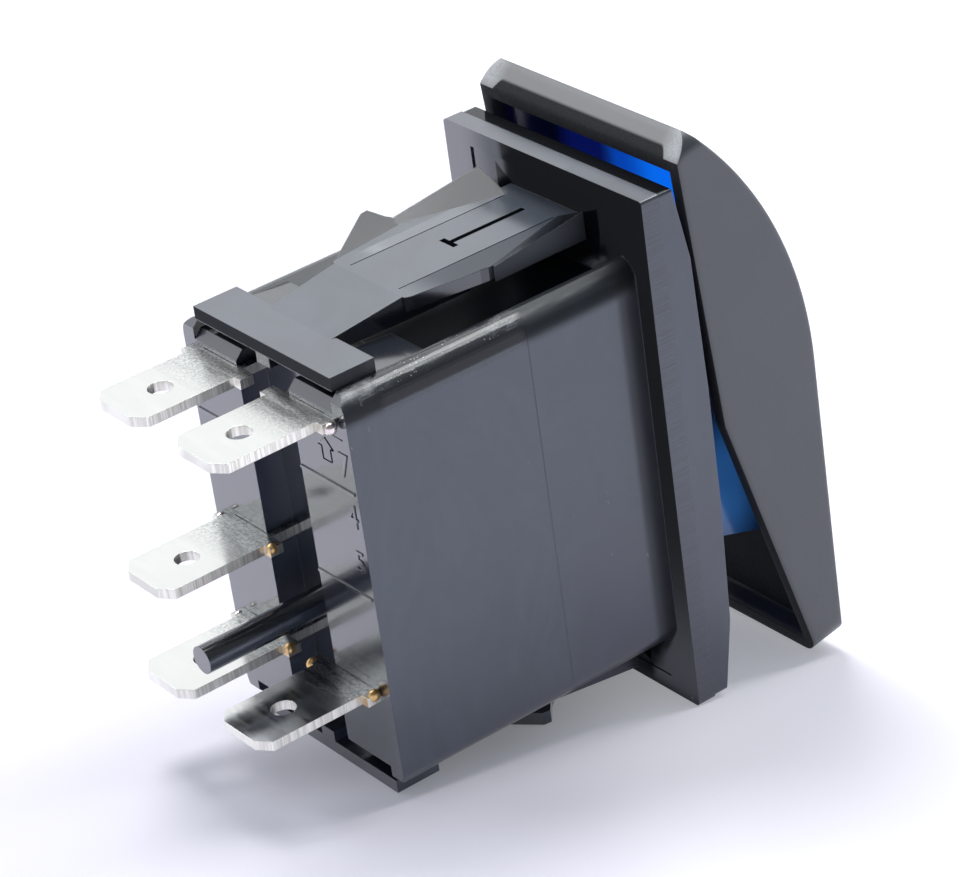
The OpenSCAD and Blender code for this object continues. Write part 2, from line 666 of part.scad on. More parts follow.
bezel_frame();
base_housing();
rocker_cap();
rocker_core();
lens_upper();
lens_lower();
plunger();
plunger_spring();
contact_blade();
moving_contact();
fixed_contact();
terminal_2();
terminal_3();
terminal_6();
terminal_7();
terminal_8();
led_upper();
led_lower();
led_legs_upper();
led_legs_lower();
resistor_upper();
resistor_lower();
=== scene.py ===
"""Finishes, moulded marks and studio for a panel-mount illuminated rocker switch."""

import logging
import math
from dataclasses import dataclass, field
from enum import Enum
from typing import NamedTuple

import bmesh
import bpy
from mathutils import Matrix, Vector


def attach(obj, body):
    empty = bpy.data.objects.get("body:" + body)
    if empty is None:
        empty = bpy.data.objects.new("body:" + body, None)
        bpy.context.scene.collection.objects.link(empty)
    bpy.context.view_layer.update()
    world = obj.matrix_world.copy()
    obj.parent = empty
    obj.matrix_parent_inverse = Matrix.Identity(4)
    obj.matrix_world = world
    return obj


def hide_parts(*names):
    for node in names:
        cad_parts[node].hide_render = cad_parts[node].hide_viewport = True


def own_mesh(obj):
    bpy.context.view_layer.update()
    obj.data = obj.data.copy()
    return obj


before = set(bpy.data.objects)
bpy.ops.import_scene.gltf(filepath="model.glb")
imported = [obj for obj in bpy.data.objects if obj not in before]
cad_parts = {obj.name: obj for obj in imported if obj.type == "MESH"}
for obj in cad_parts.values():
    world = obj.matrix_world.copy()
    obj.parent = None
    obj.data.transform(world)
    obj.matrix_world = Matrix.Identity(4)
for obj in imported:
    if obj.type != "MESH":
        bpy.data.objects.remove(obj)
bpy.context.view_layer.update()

LOG = logging.getLogger("switch")
MM = 0.001
Colour = tuple[float, float, float]
Point = tuple[float, float, float]
Span = tuple[float, float]
Belt = tuple[float, float, float]
Socket = bpy.types.NodeSocket
NodeTree = bpy.types.NodeTree
Material = bpy.types.Material

# A Mix node's two inputs and its result, by kind
MIX_SOCKETS = {"FLOAT": (2, 3, 0), "VECTOR": (4, 5, 1), "RGBA": (6, 7, 2)}
EDGE_SAMPLES = 6
# Lines that run the same way everywhere, and two metals that several pieces share
EVEN_LINES: Point = (2500.0, 2500.0, 2500.0)
SILVER: Colour = (0.86, 0.85, 0.82)
STEEL: Colour = (0.55, 0.55, 0.56)


class Axis(Enum):
    """A row axis, by its index."""

    X = 0
    Y = 1
    Z = 2


class Body(Enum):
    """The bodies that new pieces ride on."""

    HOUSING = "housing"
    ROCKER = "rocker"


class Grain(NamedTuple):
    """A noise pattern: grains in a metre along each axis, finer layers, their weight, distortion."""

    scale: Point
    detail: float = 3.0
    rough: float = 0.55
    warp: float = 0.0

    @classmethod
    def even(cls, per_metre: float, detail: float = 3.0, rough: float = 0.55, warp: float = 0.0) -> "Grain":
        """Return a pattern with the same grain along every axis."""
        return cls((per_metre, per_metre, per_metre), detail, rough, warp)


class Specks(NamedTuple):
    """A scatter of small specks: cells in a metre, a speck's radius in its cell, the share of full cells."""

    per_metre: float
    size: float
    share: float


@dataclass(frozen=True)
class Paint:
    """A colour that is laid over a finish, and how much of it covers."""

    colour: Colour
    cover: float = 1.0


# ---------------------------------------------------------------- shader graph


class Graph:
    """A material's node tree, with short calls for the nodes that the finishes use."""

    def __init__(self, name: str) -> None:
        """Start a material with one Principled surface.

        Args:
            name: the material's name.
        """
        self.material = bpy.data.materials.new(name)
        self.material.use_nodes = True
        self.tree = self.material.node_tree
        self.surface = self.tree.nodes["Principled BSDF"]
        self.place = self.tree.nodes.new("ShaderNodeTexCoord")
        self._parts = self.tree.nodes.new("ShaderNodeSeparateXYZ")
        self.tree.links.new(self.place.outputs["Object"], self._parts.inputs[0])
        self._facing = self.tree.nodes.new("ShaderNodeSeparateXYZ")
        self.tree.links.new(self.place.outputs["Normal"], self._facing.inputs[0])

    def feed(self, target: Socket, value: Socket | float | Colour) -> None:
        """Link a socket to a target, or set the target's own value.

        Args:
            target: the input socket.
            value: a socket, a number or a colour.
        """
        if isinstance(value, Socket):
            self.tree.links.new(value, target)
        elif isinstance(value, tuple) and len(target.default_value) == 4:
            target.default_value = (*value, 1.0)
        else:
            target.default_value = value

    def set(self, name: str, value: Socket | float | Colour) -> None:
        """Feed one of the Principled surface's inputs by its name."""
        self.feed(self.surface.inputs[name], value)

    def along(self, axis: Axis) -> Socket:
        """Return the object-space coordinate along an axis, in metres."""
        return self._parts.outputs[axis.value]

    def facing(self, axis: Axis) -> Socket:
        """Return the surface normal's part along an axis."""
        return self._facing.outputs[axis.value]

    def way(self, x: Socket | float, y: Socket | float, z: Socket | float) -> Socket:
        """Join a facing from its parts.

        Args:
            x: its part across.
            y: its part to the rear.
            z: its part upwards.

        Returns:
            The facing.
        """
        node = self.tree.nodes.new("ShaderNodeCombineXYZ")
        for slot, part in enumerate((x, y, z)):
            self.feed(node.inputs[slot], part)
        return node.outputs[0]

    def math(self, operation: str, a: Socket | float, b: Socket | float = 0.0, clamp: bool = False) -> Socket:
        """Add a Math node.

        Args:
            operation: its operation, such as MULTIPLY.
            a: the first value.
            b: the second value, where the operation has one.
            clamp: whether the result is kept from 0 to 1.

        Returns:
            The result.
        """
        node = self.tree.nodes.new("ShaderNodeMath")
        node.operation = operation
        node.use_clamp = clamp
        self.feed(node.inputs[0], a)
        self.feed(node.inputs[1], b)
        return node.outputs[0]

    def size(self, value: Socket) -> Socket:
        """Return a value without its sign."""
        return self.math("ABSOLUTE", value)

    def either(self, first: Socket, *others: Socket) -> Socket:
        """Join some masks.

        Args:
            first: the first mask.
            others: the masks after it.

        Returns:
            The largest of them.
        """
        for other in others:
            first = self.math("MAXIMUM", first, other)
        return first

    def both(self, first: Socket, *others: Socket | float) -> Socket:
        """Keep what some masks share.

        Args:
            first: the first mask.
            others: the masks or shares after it.

        Returns:
            Their product.
        """
        for other in others:
            first = self.math("MULTIPLY", first, other)
        return first

    def total(self, first: Socket, *others: Socket) -> Socket:
        """Add some values.

        Args:
            first: the first value.
            others: the values after it.

        Returns:
            Their sum.
        """
        for other in others:
            first = self.math("ADD", first, other)
        return first

    def unless(self, mask: Socket) -> Socket:
        """Return the opposite of a mask."""
        return self.math("SUBTRACT", 1.0, mask)

    def ramp(self, value: Socket, low: float, high: float, start: float = 0.0, end: float = 1.0) -> Socket:
        """Map a value smoothly from one span to another.

        Args:
            value: the value to map.
            low: where the span starts.
            high: where the span ends.
            start: the result at low.
            end: the result at high.

        Returns:
            The mapped value.
        """
        node = self.tree.nodes.new("ShaderNodeMapRange")
        node.interpolation_type = "SMOOTHSTEP"
        for slot, number in enumerate((low, high, start, end), start=1):
            node.inputs[slot].default_value = number
        self.feed(node.inputs[0], value)
        return node.outputs[0]

    def fall(self, value: Socket, low: float, high: float) -> Socket:
        """Return 1 below a span and 0 above it."""
        return self.ramp(value, low, high, 1.0, 0.0)

    def past(self, axis: Axis, start: float, full: float) -> Socket:
        """Return 0 before a place along an axis, and 1 from a second place on."""
        return self.ramp(self.along(axis), start, full)

    def before(self, axis: Axis, start: float, clear: float) -> Socket:
        """Return 1 up to a place along an axis, and 0 from a second place on."""
        return self.fall(self.along(axis), start, clear)

    def band(self, axis: Axis, middle: float, half: float, soft: float) -> Socket:
        """Return 1 within a half width of a place along an axis, and 0 beyond its soft edge."""
        away = self.size(self.math("SUBTRACT", self.along(axis), middle))
        return self.fall(away, half - soft, half + soft)

    def stretched(self, scale: Point) -> Socket:
        """Scale the object coordinates.

        Args:
            scale: the factor along each axis.

        Returns:
            The scaled coordinates.
        """
        node = self.tree.nodes.new("ShaderNodeMapping")
        node.inputs["Scale"].default_value = scale
        self.feed(node.inputs["Vector"], self.place.outputs["Object"])
        return node.outputs[0]

    def noise(self, grain: Grain) -> Socket:
        """Add noise.

        Args:
            grain: its pattern.

        Returns:
            The noise value.
        """
        node = self.tree.nodes.new("ShaderNodeTexNoise")
        node.inputs["Scale"].default_value = 1.0
        node.inputs["Detail"].default_value = grain.detail
        node.inputs["Roughness"].default_value = grain.rough
        node.inputs["Distortion"].default_value = grain.warp
        self.feed(node.inputs["Vector"], self.stretched(grain.scale))
        return node.outputs["Fac"]

    def specks(self, scatter: Specks) -> Socket:
        """Return a mask of small round specks.

        Args:
            scatter: how they lie.

        Returns:
            The mask.
        """
        cells = self.tree.nodes.new("ShaderNodeTexVoronoi")
        cells.inputs["Scale"].default_value = 1.0
        self.feed(cells.inputs["Vector"], self.stretched((scatter.per_metre,) * 3))
        chosen = self.tree.nodes.new("ShaderNodeSeparateColor")
        self.feed(chosen.inputs[0], cells.outputs["Color"])
        near = self.fall(cells.outputs["Distance"], scatter.size / 2, scatter.size)
        return self.both(near, self.math("LESS_THAN", chosen.outputs[0], scatter.share))

    def _mixed(self, kind: str, share: Socket | float, a: Socket | float | Colour,
               b: Socket | float | Colour) -> Socket:
        """Add a Mix node.

        Args:
            kind: what it mixes, one of MIX_SOCKETS.
            share: the second value's share.
            a: the first value.
            b: the second value.

        Returns:
            The mixed value.
        """
        first, second, result = MIX_SOCKETS[kind]
        node = self.tree.nodes.new("ShaderNodeMix")
        node.data_type = kind
        self.feed(node.inputs[0], share)
        self.feed(node.inputs[first], a)
        self.feed(node.inputs[second], b)
        return node.outputs[result]

    def mix(self, share: Socket | float, a: Socket | Colour, b: Socket | Colour) -> Socket:
        """Mix two colours."""
        return self._mixed("RGBA", share, a, b)

    def blend(self, share: Socket | float, a: Socket | float, b: Socket | float) -> Socket:
        """Mix two numbers."""
        return self._mixed("FLOAT", share, a, b)

    def mottle(self, pattern: Socket, span: Span, colour: Colour, factor: float) -> Socket:
        """Return a colour that a pattern varies over a span, from itself to a multiple of itself."""
        return self.mix(self.ramp(pattern, *span), colour, tuple(factor * part for part in colour))

    def lay(self, tone: Socket, *layers: tuple[Socket, Paint]) -> Socket:
        """Lay paints over a tone in order.

        Args:
            tone: the tone below.
            layers: each paint with the mask of where it goes.

        Returns:
            The painted tone.
        """
        for mask, paint in layers:
            share = mask if paint.cover == 1.0 else self.both(mask, paint.cover)
            tone = self.mix(share, tone, paint.colour)
        return tone

    def relief(self, height: Socket, depth: float, edge: float,
               turned: tuple[tuple[Socket, Socket], ...] = ()) -> None:
        """Give the surface a relief, and soften its sharp edges.

        Args:
            height: the relief's height, from 0 to 1.
            depth: the height of 1, in metres.
            edge: the radius that sharp edges are softened by, in metres.
            turned: where a zone's facing takes over from the mesh's own, and which way it faces.
        """
        soft = self.tree.nodes.new("ShaderNodeBevel")
        soft.samples = EDGE_SAMPLES
        soft.inputs["Radius"].default_value = edge
        facing = soft.outputs[0]
        for zone, way in turned:
            facing = self._mixed("VECTOR", zone, facing, way)
        bump = self.tree.nodes.new("ShaderNodeBump")
        bump.inputs["Strength"].default_value = 1.0
        bump.inputs["Distance"].default_value = depth
        self.feed(bump.inputs["Height"], height)
        self.feed(bump.inputs["Normal"], facing)
        self.set("Normal", bump.outputs[0])


# ---------------------------------------------------------------- finishes


@dataclass(frozen=True)
class ShellPlaces:
    """Where the moulded shell's zones lie, in the housing's fixed frame, in metres.

    A span is where a zone starts and where it is full. A belt is a zone's middle, its half width
    and its soft edge. The shading zones lie on one side only.
    """

    front_layer: float = -1.7 * MM
    layer_step: float = 0.08 * MM
    rim_edge: float = 0.02 * MM
    seat_top: float = 17.3 * MM
    seat_edge: float = 0.1 * MM
    behind_flange: Span = (0.0, 0.1 * MM)
    clear_of_flange: Span = (0.0, 0.2 * MM)
    root: Span = (1.6 * MM, 2.3 * MM)
    rail: float = 8.84 * MM
    rail_edge: float = 0.1 * MM
    corner_edge: float = 0.03 * MM
    lip_outer: Span = (9.05 * MM, 9.35 * MM)
    lip_inner: Span = (8.90 * MM, 8.96 * MM)
    roll_foot: float = 14.2 * MM
    roll: float = 2.8 * MM
    roll_edge: float = 0.1 * MM
    roll_start: Span = (-0.1 * MM, 0.9 * MM)
    roll_behind: Span = (0.1 * MM, 0.3 * MM)
    seam: Belt = (10.6 * MM, 0.06 * MM, 0.03 * MM)
    seam_fade: Span = (-12.0 * MM, 10.0 * MM)
    seam_faint: float = 0.25
    flange_rear: Belt = (0.0, 0.6 * MM, 0.1 * MM)
    shade_across: Span = (3.0 * MM, 10.5 * MM)
    flange_rim: Span = (10.8 * MM, 11.0 * MM)
    shaded_bar_end: tuple[Span, Span] = ((26.0 * MM, 26.5 * MM), (17.0 * MM, 17.1 * MM))
    shaded_bar_side: tuple[Span, Span] = ((22.0 * MM, 22.5 * MM), (17.02 * MM, 17.06 * MM))
    wing_across: Span = (-3.1 * MM, -3.0 * MM)
    wing_up: Span = (18.9 * MM, 18.95 * MM)
    wing_along: Belt = (7.6 * MM, 7.2 * MM, 1.8 * MM)
    powder: Belt = (18.5 * MM, 6.5 * MM, 2.5 * MM)
    blooms: tuple[Belt, Belt] = ((12.2 * MM, 1.3 * MM, 0.9 * MM), (25.4 * MM, 2.0 * MM, 1.2 * MM))
    worn_front: Span = (10.2 * MM, 11.4 * MM)
    worn_rear: Span = (23.4 * MM, 24.4 * MM)
    worn_rear_share: float = 0.6
    pad: Span = (24.0 * MM, 25.0 * MM)
    flare_across: Belt = (3.75 * MM, 0.62 * MM, 0.05 * MM)
    flare_up: Belt = (19.0 * MM, 0.10 * MM, 0.02 * MM)
    flare_along: Belt = (7.6 * MM, 6.6 * MM, 2.2 * MM)


@dataclass(frozen=True)
class ShellFacings:
    """How squarely a surface has to face a way to belong to a zone, and how the lip faces."""

    side: Span = (0.80, 0.96)
    rear: Span = (0.6, 0.9)
    top: Span = (0.7, 0.9)
    upward: Span = (0.5, 0.8)
    slope: Span = (0.4, 0.6)
    half_up: Span = (0.3, 0.8)
    turned_back: Span = (0.3, 0.5)
    off_flat: Span = (0.06, 0.16)
    off_side: Span = (0.82, 0.96)
    lip: Span = (-0.32, 0.947)


class ShellZones:
    """Masks of the moulded shell's zones, each 1 inside its zone and 0 outside it."""

    def __init__(self, g: Graph, at: ShellPlaces, facing: ShellFacings) -> None:
        """Work out the zones from where the surface is and how it faces.

        Args:
            g: the material's graph.
            at: where the zones lie.
            facing: how their surfaces face.
        """
        across, back, up = g.size(g.facing(Axis.X)), g.facing(Axis.Y), g.facing(Axis.Z)
        away = g.size(g.along(Axis.X))
        upward = g.ramp(up, *facing.upward)
        self.side = g.ramp(across, *facing.side)
        self.rear = g.ramp(back, *facing.rear)
        self.top = g.ramp(up, *facing.top)
        seat = g.both(self.top, g.before(Axis.Z, at.seat_top, at.seat_top + at.seat_edge),
                      g.past(Axis.Y, *at.behind_flange))
        self.front_top = g.both(upward, g.before(Axis.Y, at.front_layer - at.layer_step, at.front_layer))
        self.round_edge = g.both(g.ramp(across, *facing.off_flat), g.fall(across, *facing.off_side),
                                 g.past(Axis.Y, *at.clear_of_flange))
        self.polished = g.either(self.rear, seat, self.front_top, self.round_edge)
        self.on_rail = g.both(self.round_edge, g.ramp(away, at.rail - at.rail_edge, at.rail))
        self.rolled = g.both(self.side, g.past(Axis.Z, *(at.roll_foot + step for step in at.roll_start)),
                             g.past(Axis.Y, *at.clear_of_flange))
        layer, soft = at.front_layer, at.rim_edge
        self.rim = g.both(self.side, g.past(Axis.Y, layer - soft, layer + soft),
                          g.before(Axis.Y, -soft, soft))
        # Side walls next to the flange, which get painted shade.
        self.root = g.both(self.side, g.before(Axis.Y, *at.root), g.past(Axis.Y, *at.behind_flange))
        self.seam = g.both(g.band(Axis.Y, *at.seam), g.either(self.side, self.round_edge),
                           g.ramp(g.along(Axis.Z), *at.seam_fade, at.seam_faint, 1.0))

        self.shade = g.both(self.rear, g.band(Axis.Y, *at.flange_rear), g.before(Axis.X, *at.shade_across))
        self.flange_rim = g.both(self.shade, g.ramp(away, *at.flange_rim))
        # Painted shade: the upper rear bar's end and sides are darkened in colour and made rougher.
        shaded_bar_end = g.both(self.rear, g.past(Axis.Y, *at.shaded_bar_end[0]), g.past(Axis.Z, *at.shaded_bar_end[1]))
        shaded_bar_side = g.both(self.side, g.past(Axis.Y, *at.shaded_bar_side[0]), g.past(Axis.Z, *at.shaded_bar_side[1]))
        self.dim = g.either(self.shade, shaded_bar_end)
        self.bar = g.either(shaded_bar_end, shaded_bar_side)
        # Painted shade on the upper near wing's inner face.
        self.shaded_near_wing = g.both(g.before(Axis.X, *at.wing_across), g.past(Axis.Z, *at.wing_up), upward,
                                g.band(Axis.Y, *at.wing_along))
        self.powder = g.both(self.on_rail, g.band(Axis.Y, *at.powder))
        self.bloom = g.both(g.either(*(g.band(Axis.Y, *belt) for belt in at.blooms)), self.on_rail,
                            g.ramp(up, *facing.half_up))
        worn_rear = g.both(g.past(Axis.Y, *at.worn_rear), at.worn_rear_share)
        self.worn = g.both(g.either(self.on_rail, self.rolled),
                           g.either(g.before(Axis.Y, *at.worn_front), worn_rear))
        self.pad = g.both(g.ramp(back, *facing.slope), g.ramp(up, *facing.slope), g.past(Axis.Y, *at.pad))
        roll_top = at.roll_foot + at.roll
        self.corner = g.both(g.ramp(away, at.rail, at.rail + at.corner_edge),
                             g.past(Axis.Z, at.roll_foot, at.roll_foot + at.roll_edge),
                             g.past(Axis.Y, *at.roll_behind),
                             g.unless(g.ramp(g.size(back), *facing.turned_back)),
                             g.before(Axis.Z, roll_top, roll_top + at.roll_edge))
        self.flare = g.both(g.band(Axis.X, *at.flare_across), g.band(Axis.Z, *at.flare_up), self.top,
                            g.band(Axis.Y, *at.flare_along))
        self.rolled_way = self._rolled_way(g, at, facing.lip)

    @staticmethod
    def _rolled_way(g: Graph, at: ShellPlaces, lip_way: Span) -> Socket:
        """Return which way a rolled upper corner faces, with its inner lip turned inwards.

        Args:
            g: the material's graph.
            at: where the corner lies.
            lip_way: how far the lip faces outwards and up.

        Returns:
            The facing, in the housing's fixed frame.
        """
        away = g.size(g.along(Axis.X))
        lip = g.both(g.fall(away, *at.lip_outer), g.ramp(away, *at.lip_inner))
        lean = g.math("DIVIDE", g.math("SUBTRACT", g.along(Axis.Z), at.roll_foot), at.roll, clamp=True)
        out = g.math("SQRT", g.unless(g.both(lean, lean)))
        side = g.both(g.math("SIGN", g.along(Axis.X)), g.blend(lip, out, lip_way[0]))
        return g.way(side, 0.0, g.blend(lip, lean, lip_way[1]))


@dataclass(frozen=True)
class MouldedShell:
    """Black moulded plastic: spark-textured sides, polished rear, seat and round edges."""

    name: str
    colour: Colour = (0.046, 0.057, 0.080)
    satin: float = 0.34
    satin_spread: float = 0.05
    gloss: float = 0.10
    edge: float = 0.10 * MM
    relief: float = 0.0022 * MM
    comb_height: float = 20.0
    ripple_height: float = 7.0
    polish_flat: float = 0.92
    polish_dark: float = 0.42
    scuff_rough: float = 0.16
    worn_rough: float = 0.26
    pad_rough: float = 0.30
    bar_rough: float = 0.35
    roll_polish: float = 0.8
    side_sheen: float = 0.30
    rail_dull: float = 0.25
    at: ShellPlaces = ShellPlaces()
    facing: ShellFacings = ShellFacings()
    flare_way: Point = (-0.38, 0.10, 0.92)
    dim_way: Point = (-0.42, 0.82, 0.38)

    swirl: Grain = Grain((70, 110, 70), 5.0, 0.62, 2.2)
    haze: Grain = Grain.even(2600, 2.0)
    cloud: Grain = Grain((38, 30, 38), 2.0)
    comb: Grain = Grain((120, 120, 9500), 2.0, 0.7)
    lint: Grain = Grain((90, 2600, 900), 2.0, 0.5, 0.6)
    lint_patch: Grain = Grain.even(60)
    powder_patch: Grain = Grain((500, 160, 500), 2.0)
    bloom_patch: Grain = Grain((900, 600, 900), 4.0, 0.65)
    scuff: Grain = Grain((700, 160, 700), 3.0, 0.6, 0.5)
    ripple: Grain = Grain((1500, 420, 1500), 3.0, 0.6)
    dust: Specks = Specks(900, 0.055, 0.06)
    rim_specks: Specks = Specks(700, 0.07, 0.10)
    powder: Specks = Specks(3600, 0.30, 0.5)

    cloud_blue: Paint = Paint((0.034, 0.032, 0.060), 0.5)
    edge_shade_black: Paint = Paint((0.004, 0.005, 0.008), 0.82)
    shade_black: Paint = Paint((0.004, 0.004, 0.006), 0.94)
    pink_specks: Paint = Paint((0.62, 0.50, 0.54))
    wing_shade_black: Paint = Paint((0.010, 0.012, 0.016), 0.45)
    comb_black: Paint = Paint((0.012, 0.012, 0.013))
    layer_shade_black: Paint = Paint((0.004, 0.004, 0.005), 0.9)
    seam_black: Paint = Paint((0.002, 0.002, 0.002))
    grey_dust: Paint = Paint((0.30, 0.31, 0.33), 0.35)
    white_powder: Paint = Paint((0.42, 0.43, 0.45), 0.85)
    grey_bloom: Paint = Paint((0.36, 0.38, 0.41), 0.6)
    root_shade_black: Paint = Paint((0.008, 0.009, 0.012), 0.9)

    def build(self) -> Material:
        """Make the finish.

        Returns:
            The material.
        """
        g = Graph(self.name)
        zone = ShellZones(g, self.at, self.facing)
        swirl, haze, comb = g.noise(self.swirl), g.noise(self.haze), g.noise(self.comb)
        self._tone(g, zone, swirl, comb)
        self._surface(g, zone, swirl, haze)
        height = g.total(haze, g.both(comb, zone.rim, self.comb_height))
        height = g.both(height, g.unless(g.both(zone.polished, self.polish_flat)))
        height = g.total(height, g.both(zone.on_rail, g.noise(self.ripple), self.ripple_height))
        g.relief(height, self.relief, self.edge,
                 ((zone.corner, zone.rolled_way), (zone.flare, g.way(*self.flare_way)),
                  (zone.dim, g.way(*self.dim_way))))
        return g.material

    def _tone(self, g: Graph, zone: ShellZones, swirl: Socket, comb: Socket) -> None:
        """Lay the shell's colours over each other.

        Args:
            g: the material's graph.
            zone: its zones.
            swirl: the plastic's flow pattern.
            comb: the fine tool lines of the flange's rim.
        """
        dust = g.specks(self.dust)
        lint = g.both(g.ramp(g.noise(self.lint), 0.70, 0.74), g.ramp(g.noise(self.lint_patch), 0.56, 0.62))
        powder = g.both(zone.powder, g.specks(self.powder), g.ramp(g.noise(self.powder_patch), 0.45, 0.6))
        bloom = g.both(zone.bloom, g.ramp(g.noise(self.bloom_patch), 0.42, 0.62))
        polish = Paint(tuple(self.polish_dark * part for part in self.colour))
        tone = g.mottle(swirl, (0.35, 0.70), self.colour, 1.30)
        g.set("Base Color", g.lay(
            tone,
            (g.ramp(g.noise(self.cloud), 0.48, 0.72), self.cloud_blue),
            (zone.polished, polish),
            # Painted shade: the rounded edges and the rolled upper corners are darkened.
            (g.either(zone.rolled, zone.round_edge), self.edge_shade_black),
            # Painted shade on the flange's rear beside the body and on the upper rear bar.
            (g.either(zone.shade, zone.bar), self.shade_black),
            # Pinkish specks on the flange's rear near its rim.
            (g.both(zone.flange_rim, g.specks(self.rim_specks)), self.pink_specks),
            # Painted shade on the upper near wing.
            (zone.shaded_near_wing, self.wing_shade_black),
            (g.both(zone.rim, g.ramp(comb, 0.40, 0.60, 0.35, 0.0)), self.comb_black),
            # Painted shade on the top of the flange's front layer, beside the cap.
            (zone.front_top, self.layer_shade_black),
            (zone.seam, self.seam_black),
            (g.both(g.either(dust, lint), zone.side), self.grey_dust),
            (powder, self.white_powder),
            (bloom, self.grey_bloom),
            # Painted shade on the side walls next to the flange.
            (zone.root, self.root_shade_black)))

    def _surface(self, g: Graph, zone: ShellZones, swirl: Socket, haze: Socket) -> None:
        """Set how rough the shell is, and how much clear sheen it has.

        Args:
            g: the material's graph.
            zone: its zones.
            swirl: the plastic's flow pattern.
            haze: the spark texture.
        """
        low, high = self.satin - self.satin_spread, self.satin + self.satin_spread
        satin = g.ramp(g.total(g.both(swirl, 0.7), g.both(haze, 0.3)), 0.35, 0.68, low, high)
        polish = g.either(zone.polished, g.both(zone.rolled, self.roll_polish))
        scuff = g.both(zone.on_rail, g.ramp(g.noise(self.scuff), 0.44, 0.70, 0.0, self.scuff_rough))
        g.set("Roughness", g.total(
            g.blend(polish, satin, self.gloss), scuff, g.both(zone.worn, self.worn_rough),
            g.both(zone.pad, self.pad_rough), g.both(zone.bar, self.bar_rough)))
        g.set("IOR", 1.64)
        g.set("Specular Tint", (0.87, 0.94, 1.0))
        g.set("Coat Weight", g.both(
            g.blend(zone.side, 1.0, self.side_sheen),
            g.unless(g.either(zone.shade, zone.bar, zone.shaded_near_wing)),
            g.unless(g.either(g.both(zone.on_rail, self.rail_dull), zone.worn)),
            g.unless(g.either(zone.front_top, zone.root))))
        g.set("Coat IOR", 1.85)
        g.set("Coat Roughness", 0.16)


@dataclass(frozen=True)
class GrainedCap:
    """Matte black cap with the fine grain of a spark-eroded mould."""

    name: str = "cap_grain"
    colour: Colour = (0.052, 0.057, 0.066)
    rough: float = 0.46
    grain: Grain = Grain.even(5200, 2.0, 0.6)
    cloud: Grain = Grain.even(120, 4.0, 0.6, 0.8)
    edge: float = 0.75 * MM
    relief: float = 0.008 * MM
    sill: float = 24.72 * MM
    sill_edge: float = 0.12 * MM
    sill_drop: float = -1.6 * MM
    sill_corner: Span = (9.6 * MM, 11.3 * MM)
    end_foot: Span = (20.0 * MM, 20.5 * MM)
    corner_across: Span = (9.2 * MM, 11.2 * MM)
    corner_up: Span = (23.5 * MM, 24.6 * MM)
    wall_painted_light: Paint = Paint((0.085, 0.090, 0.098))
    corner_highlight: Paint = Paint((0.40, 0.42, 0.44))
    inner_shade_black: Paint = Paint((0.006, 0.006, 0.008))
    dust: Specks = Specks(900, 0.05, 0.04)
    dust_grey: Paint = Paint((0.4, 0.4, 0.42), 0.4)
    wall_back: Span = (0.35, 0.6)
    wall_up: Span = (0.3, 0.5)
    corner_back: Span = (0.1, 0.35)
    corner_rise: Span = (0.15, 0.45)
    turned_in: Span = (0.84, 0.96)
    turned_down: Span = (-0.5, -0.8)
    sill_back: Span = (0.4, 0.7)
    smoother: float = 0.07
    rougher: float = 0.05
    inner_rough: float = 0.4
    body_sheen: float = 0.27

    def build(self) -> Material:
        """Make the finish.

        Returns:
            The material.
        """
        g = Graph(self.name)
        back, up = g.facing(Axis.Y), g.facing(Axis.Z)
        grain = g.noise(self.grain)
        # Painted shade: near-black on the inside faces, the faces turned down and the end wall below its
        # sill.
        inner = self._shaded_inside(g)
        # Painted light: the rear-facing end wall is made lighter.
        wall = g.both(g.ramp(back, *self.wall_back), g.ramp(up, *self.wall_up))
        # Painted highlight on the end wall's upper outer corners.
        corner = g.both(g.ramp(g.size(g.along(Axis.X)), *self.corner_across), g.past(Axis.Z, *self.corner_up),
                        g.ramp(up, *self.corner_rise), g.ramp(back, *self.corner_back),
                        g.ramp(grain, 0.3, 0.65, 0.55, 1.0))
        g.set("Base Color", g.lay(
            g.mottle(g.noise(self.cloud), (0.35, 0.7), self.colour, 1.14),
            (wall, self.wall_painted_light), (corner, self.corner_highlight), (inner, self.inner_shade_black),
            (g.specks(self.dust), self.dust_grey)))
        rough = g.ramp(grain, 0.3, 0.7, self.rough - self.smoother, self.rough + self.rougher)
        g.set("Roughness", g.total(rough, g.both(inner, self.inner_rough)))
        g.set("IOR", 1.56)
        g.set("Specular Tint", (0.92, 0.96, 1.0))
        g.set("Coat Weight", g.both(g.ramp(wall, 0.0, 1.0, self.body_sheen, 1.0), g.unless(inner)))
        g.set("Coat IOR", 2.2)
        g.set("Coat Roughness", 0.32)
        g.relief(grain, self.relief, self.edge)
        return g.material

    def _shaded_inside(self, g: Graph) -> Socket:
        """Mask where near-black painted shade goes: the inside faces, the faces turned down, and the end wall
        below its painted-light sill.

        Args:
            g: the material's graph.

        Returns:
            The mask.
        """
        away, back = g.size(g.along(Axis.X)), g.facing(Axis.Y)
        over = g.math("SUBTRACT", g.math("SUBTRACT", g.along(Axis.Z), self.sill),
                      g.ramp(away, *self.sill_corner, 0.0, self.sill_drop))
        under_sill = g.both(g.fall(over, -self.sill_edge, self.sill_edge), g.past(Axis.Z, *self.end_foot),
                            g.ramp(back, *self.sill_back))
        under = g.ramp(g.facing(Axis.Z), *self.turned_down)
        return g.either(g.ramp(back, *self.turned_in), under, under_sill)


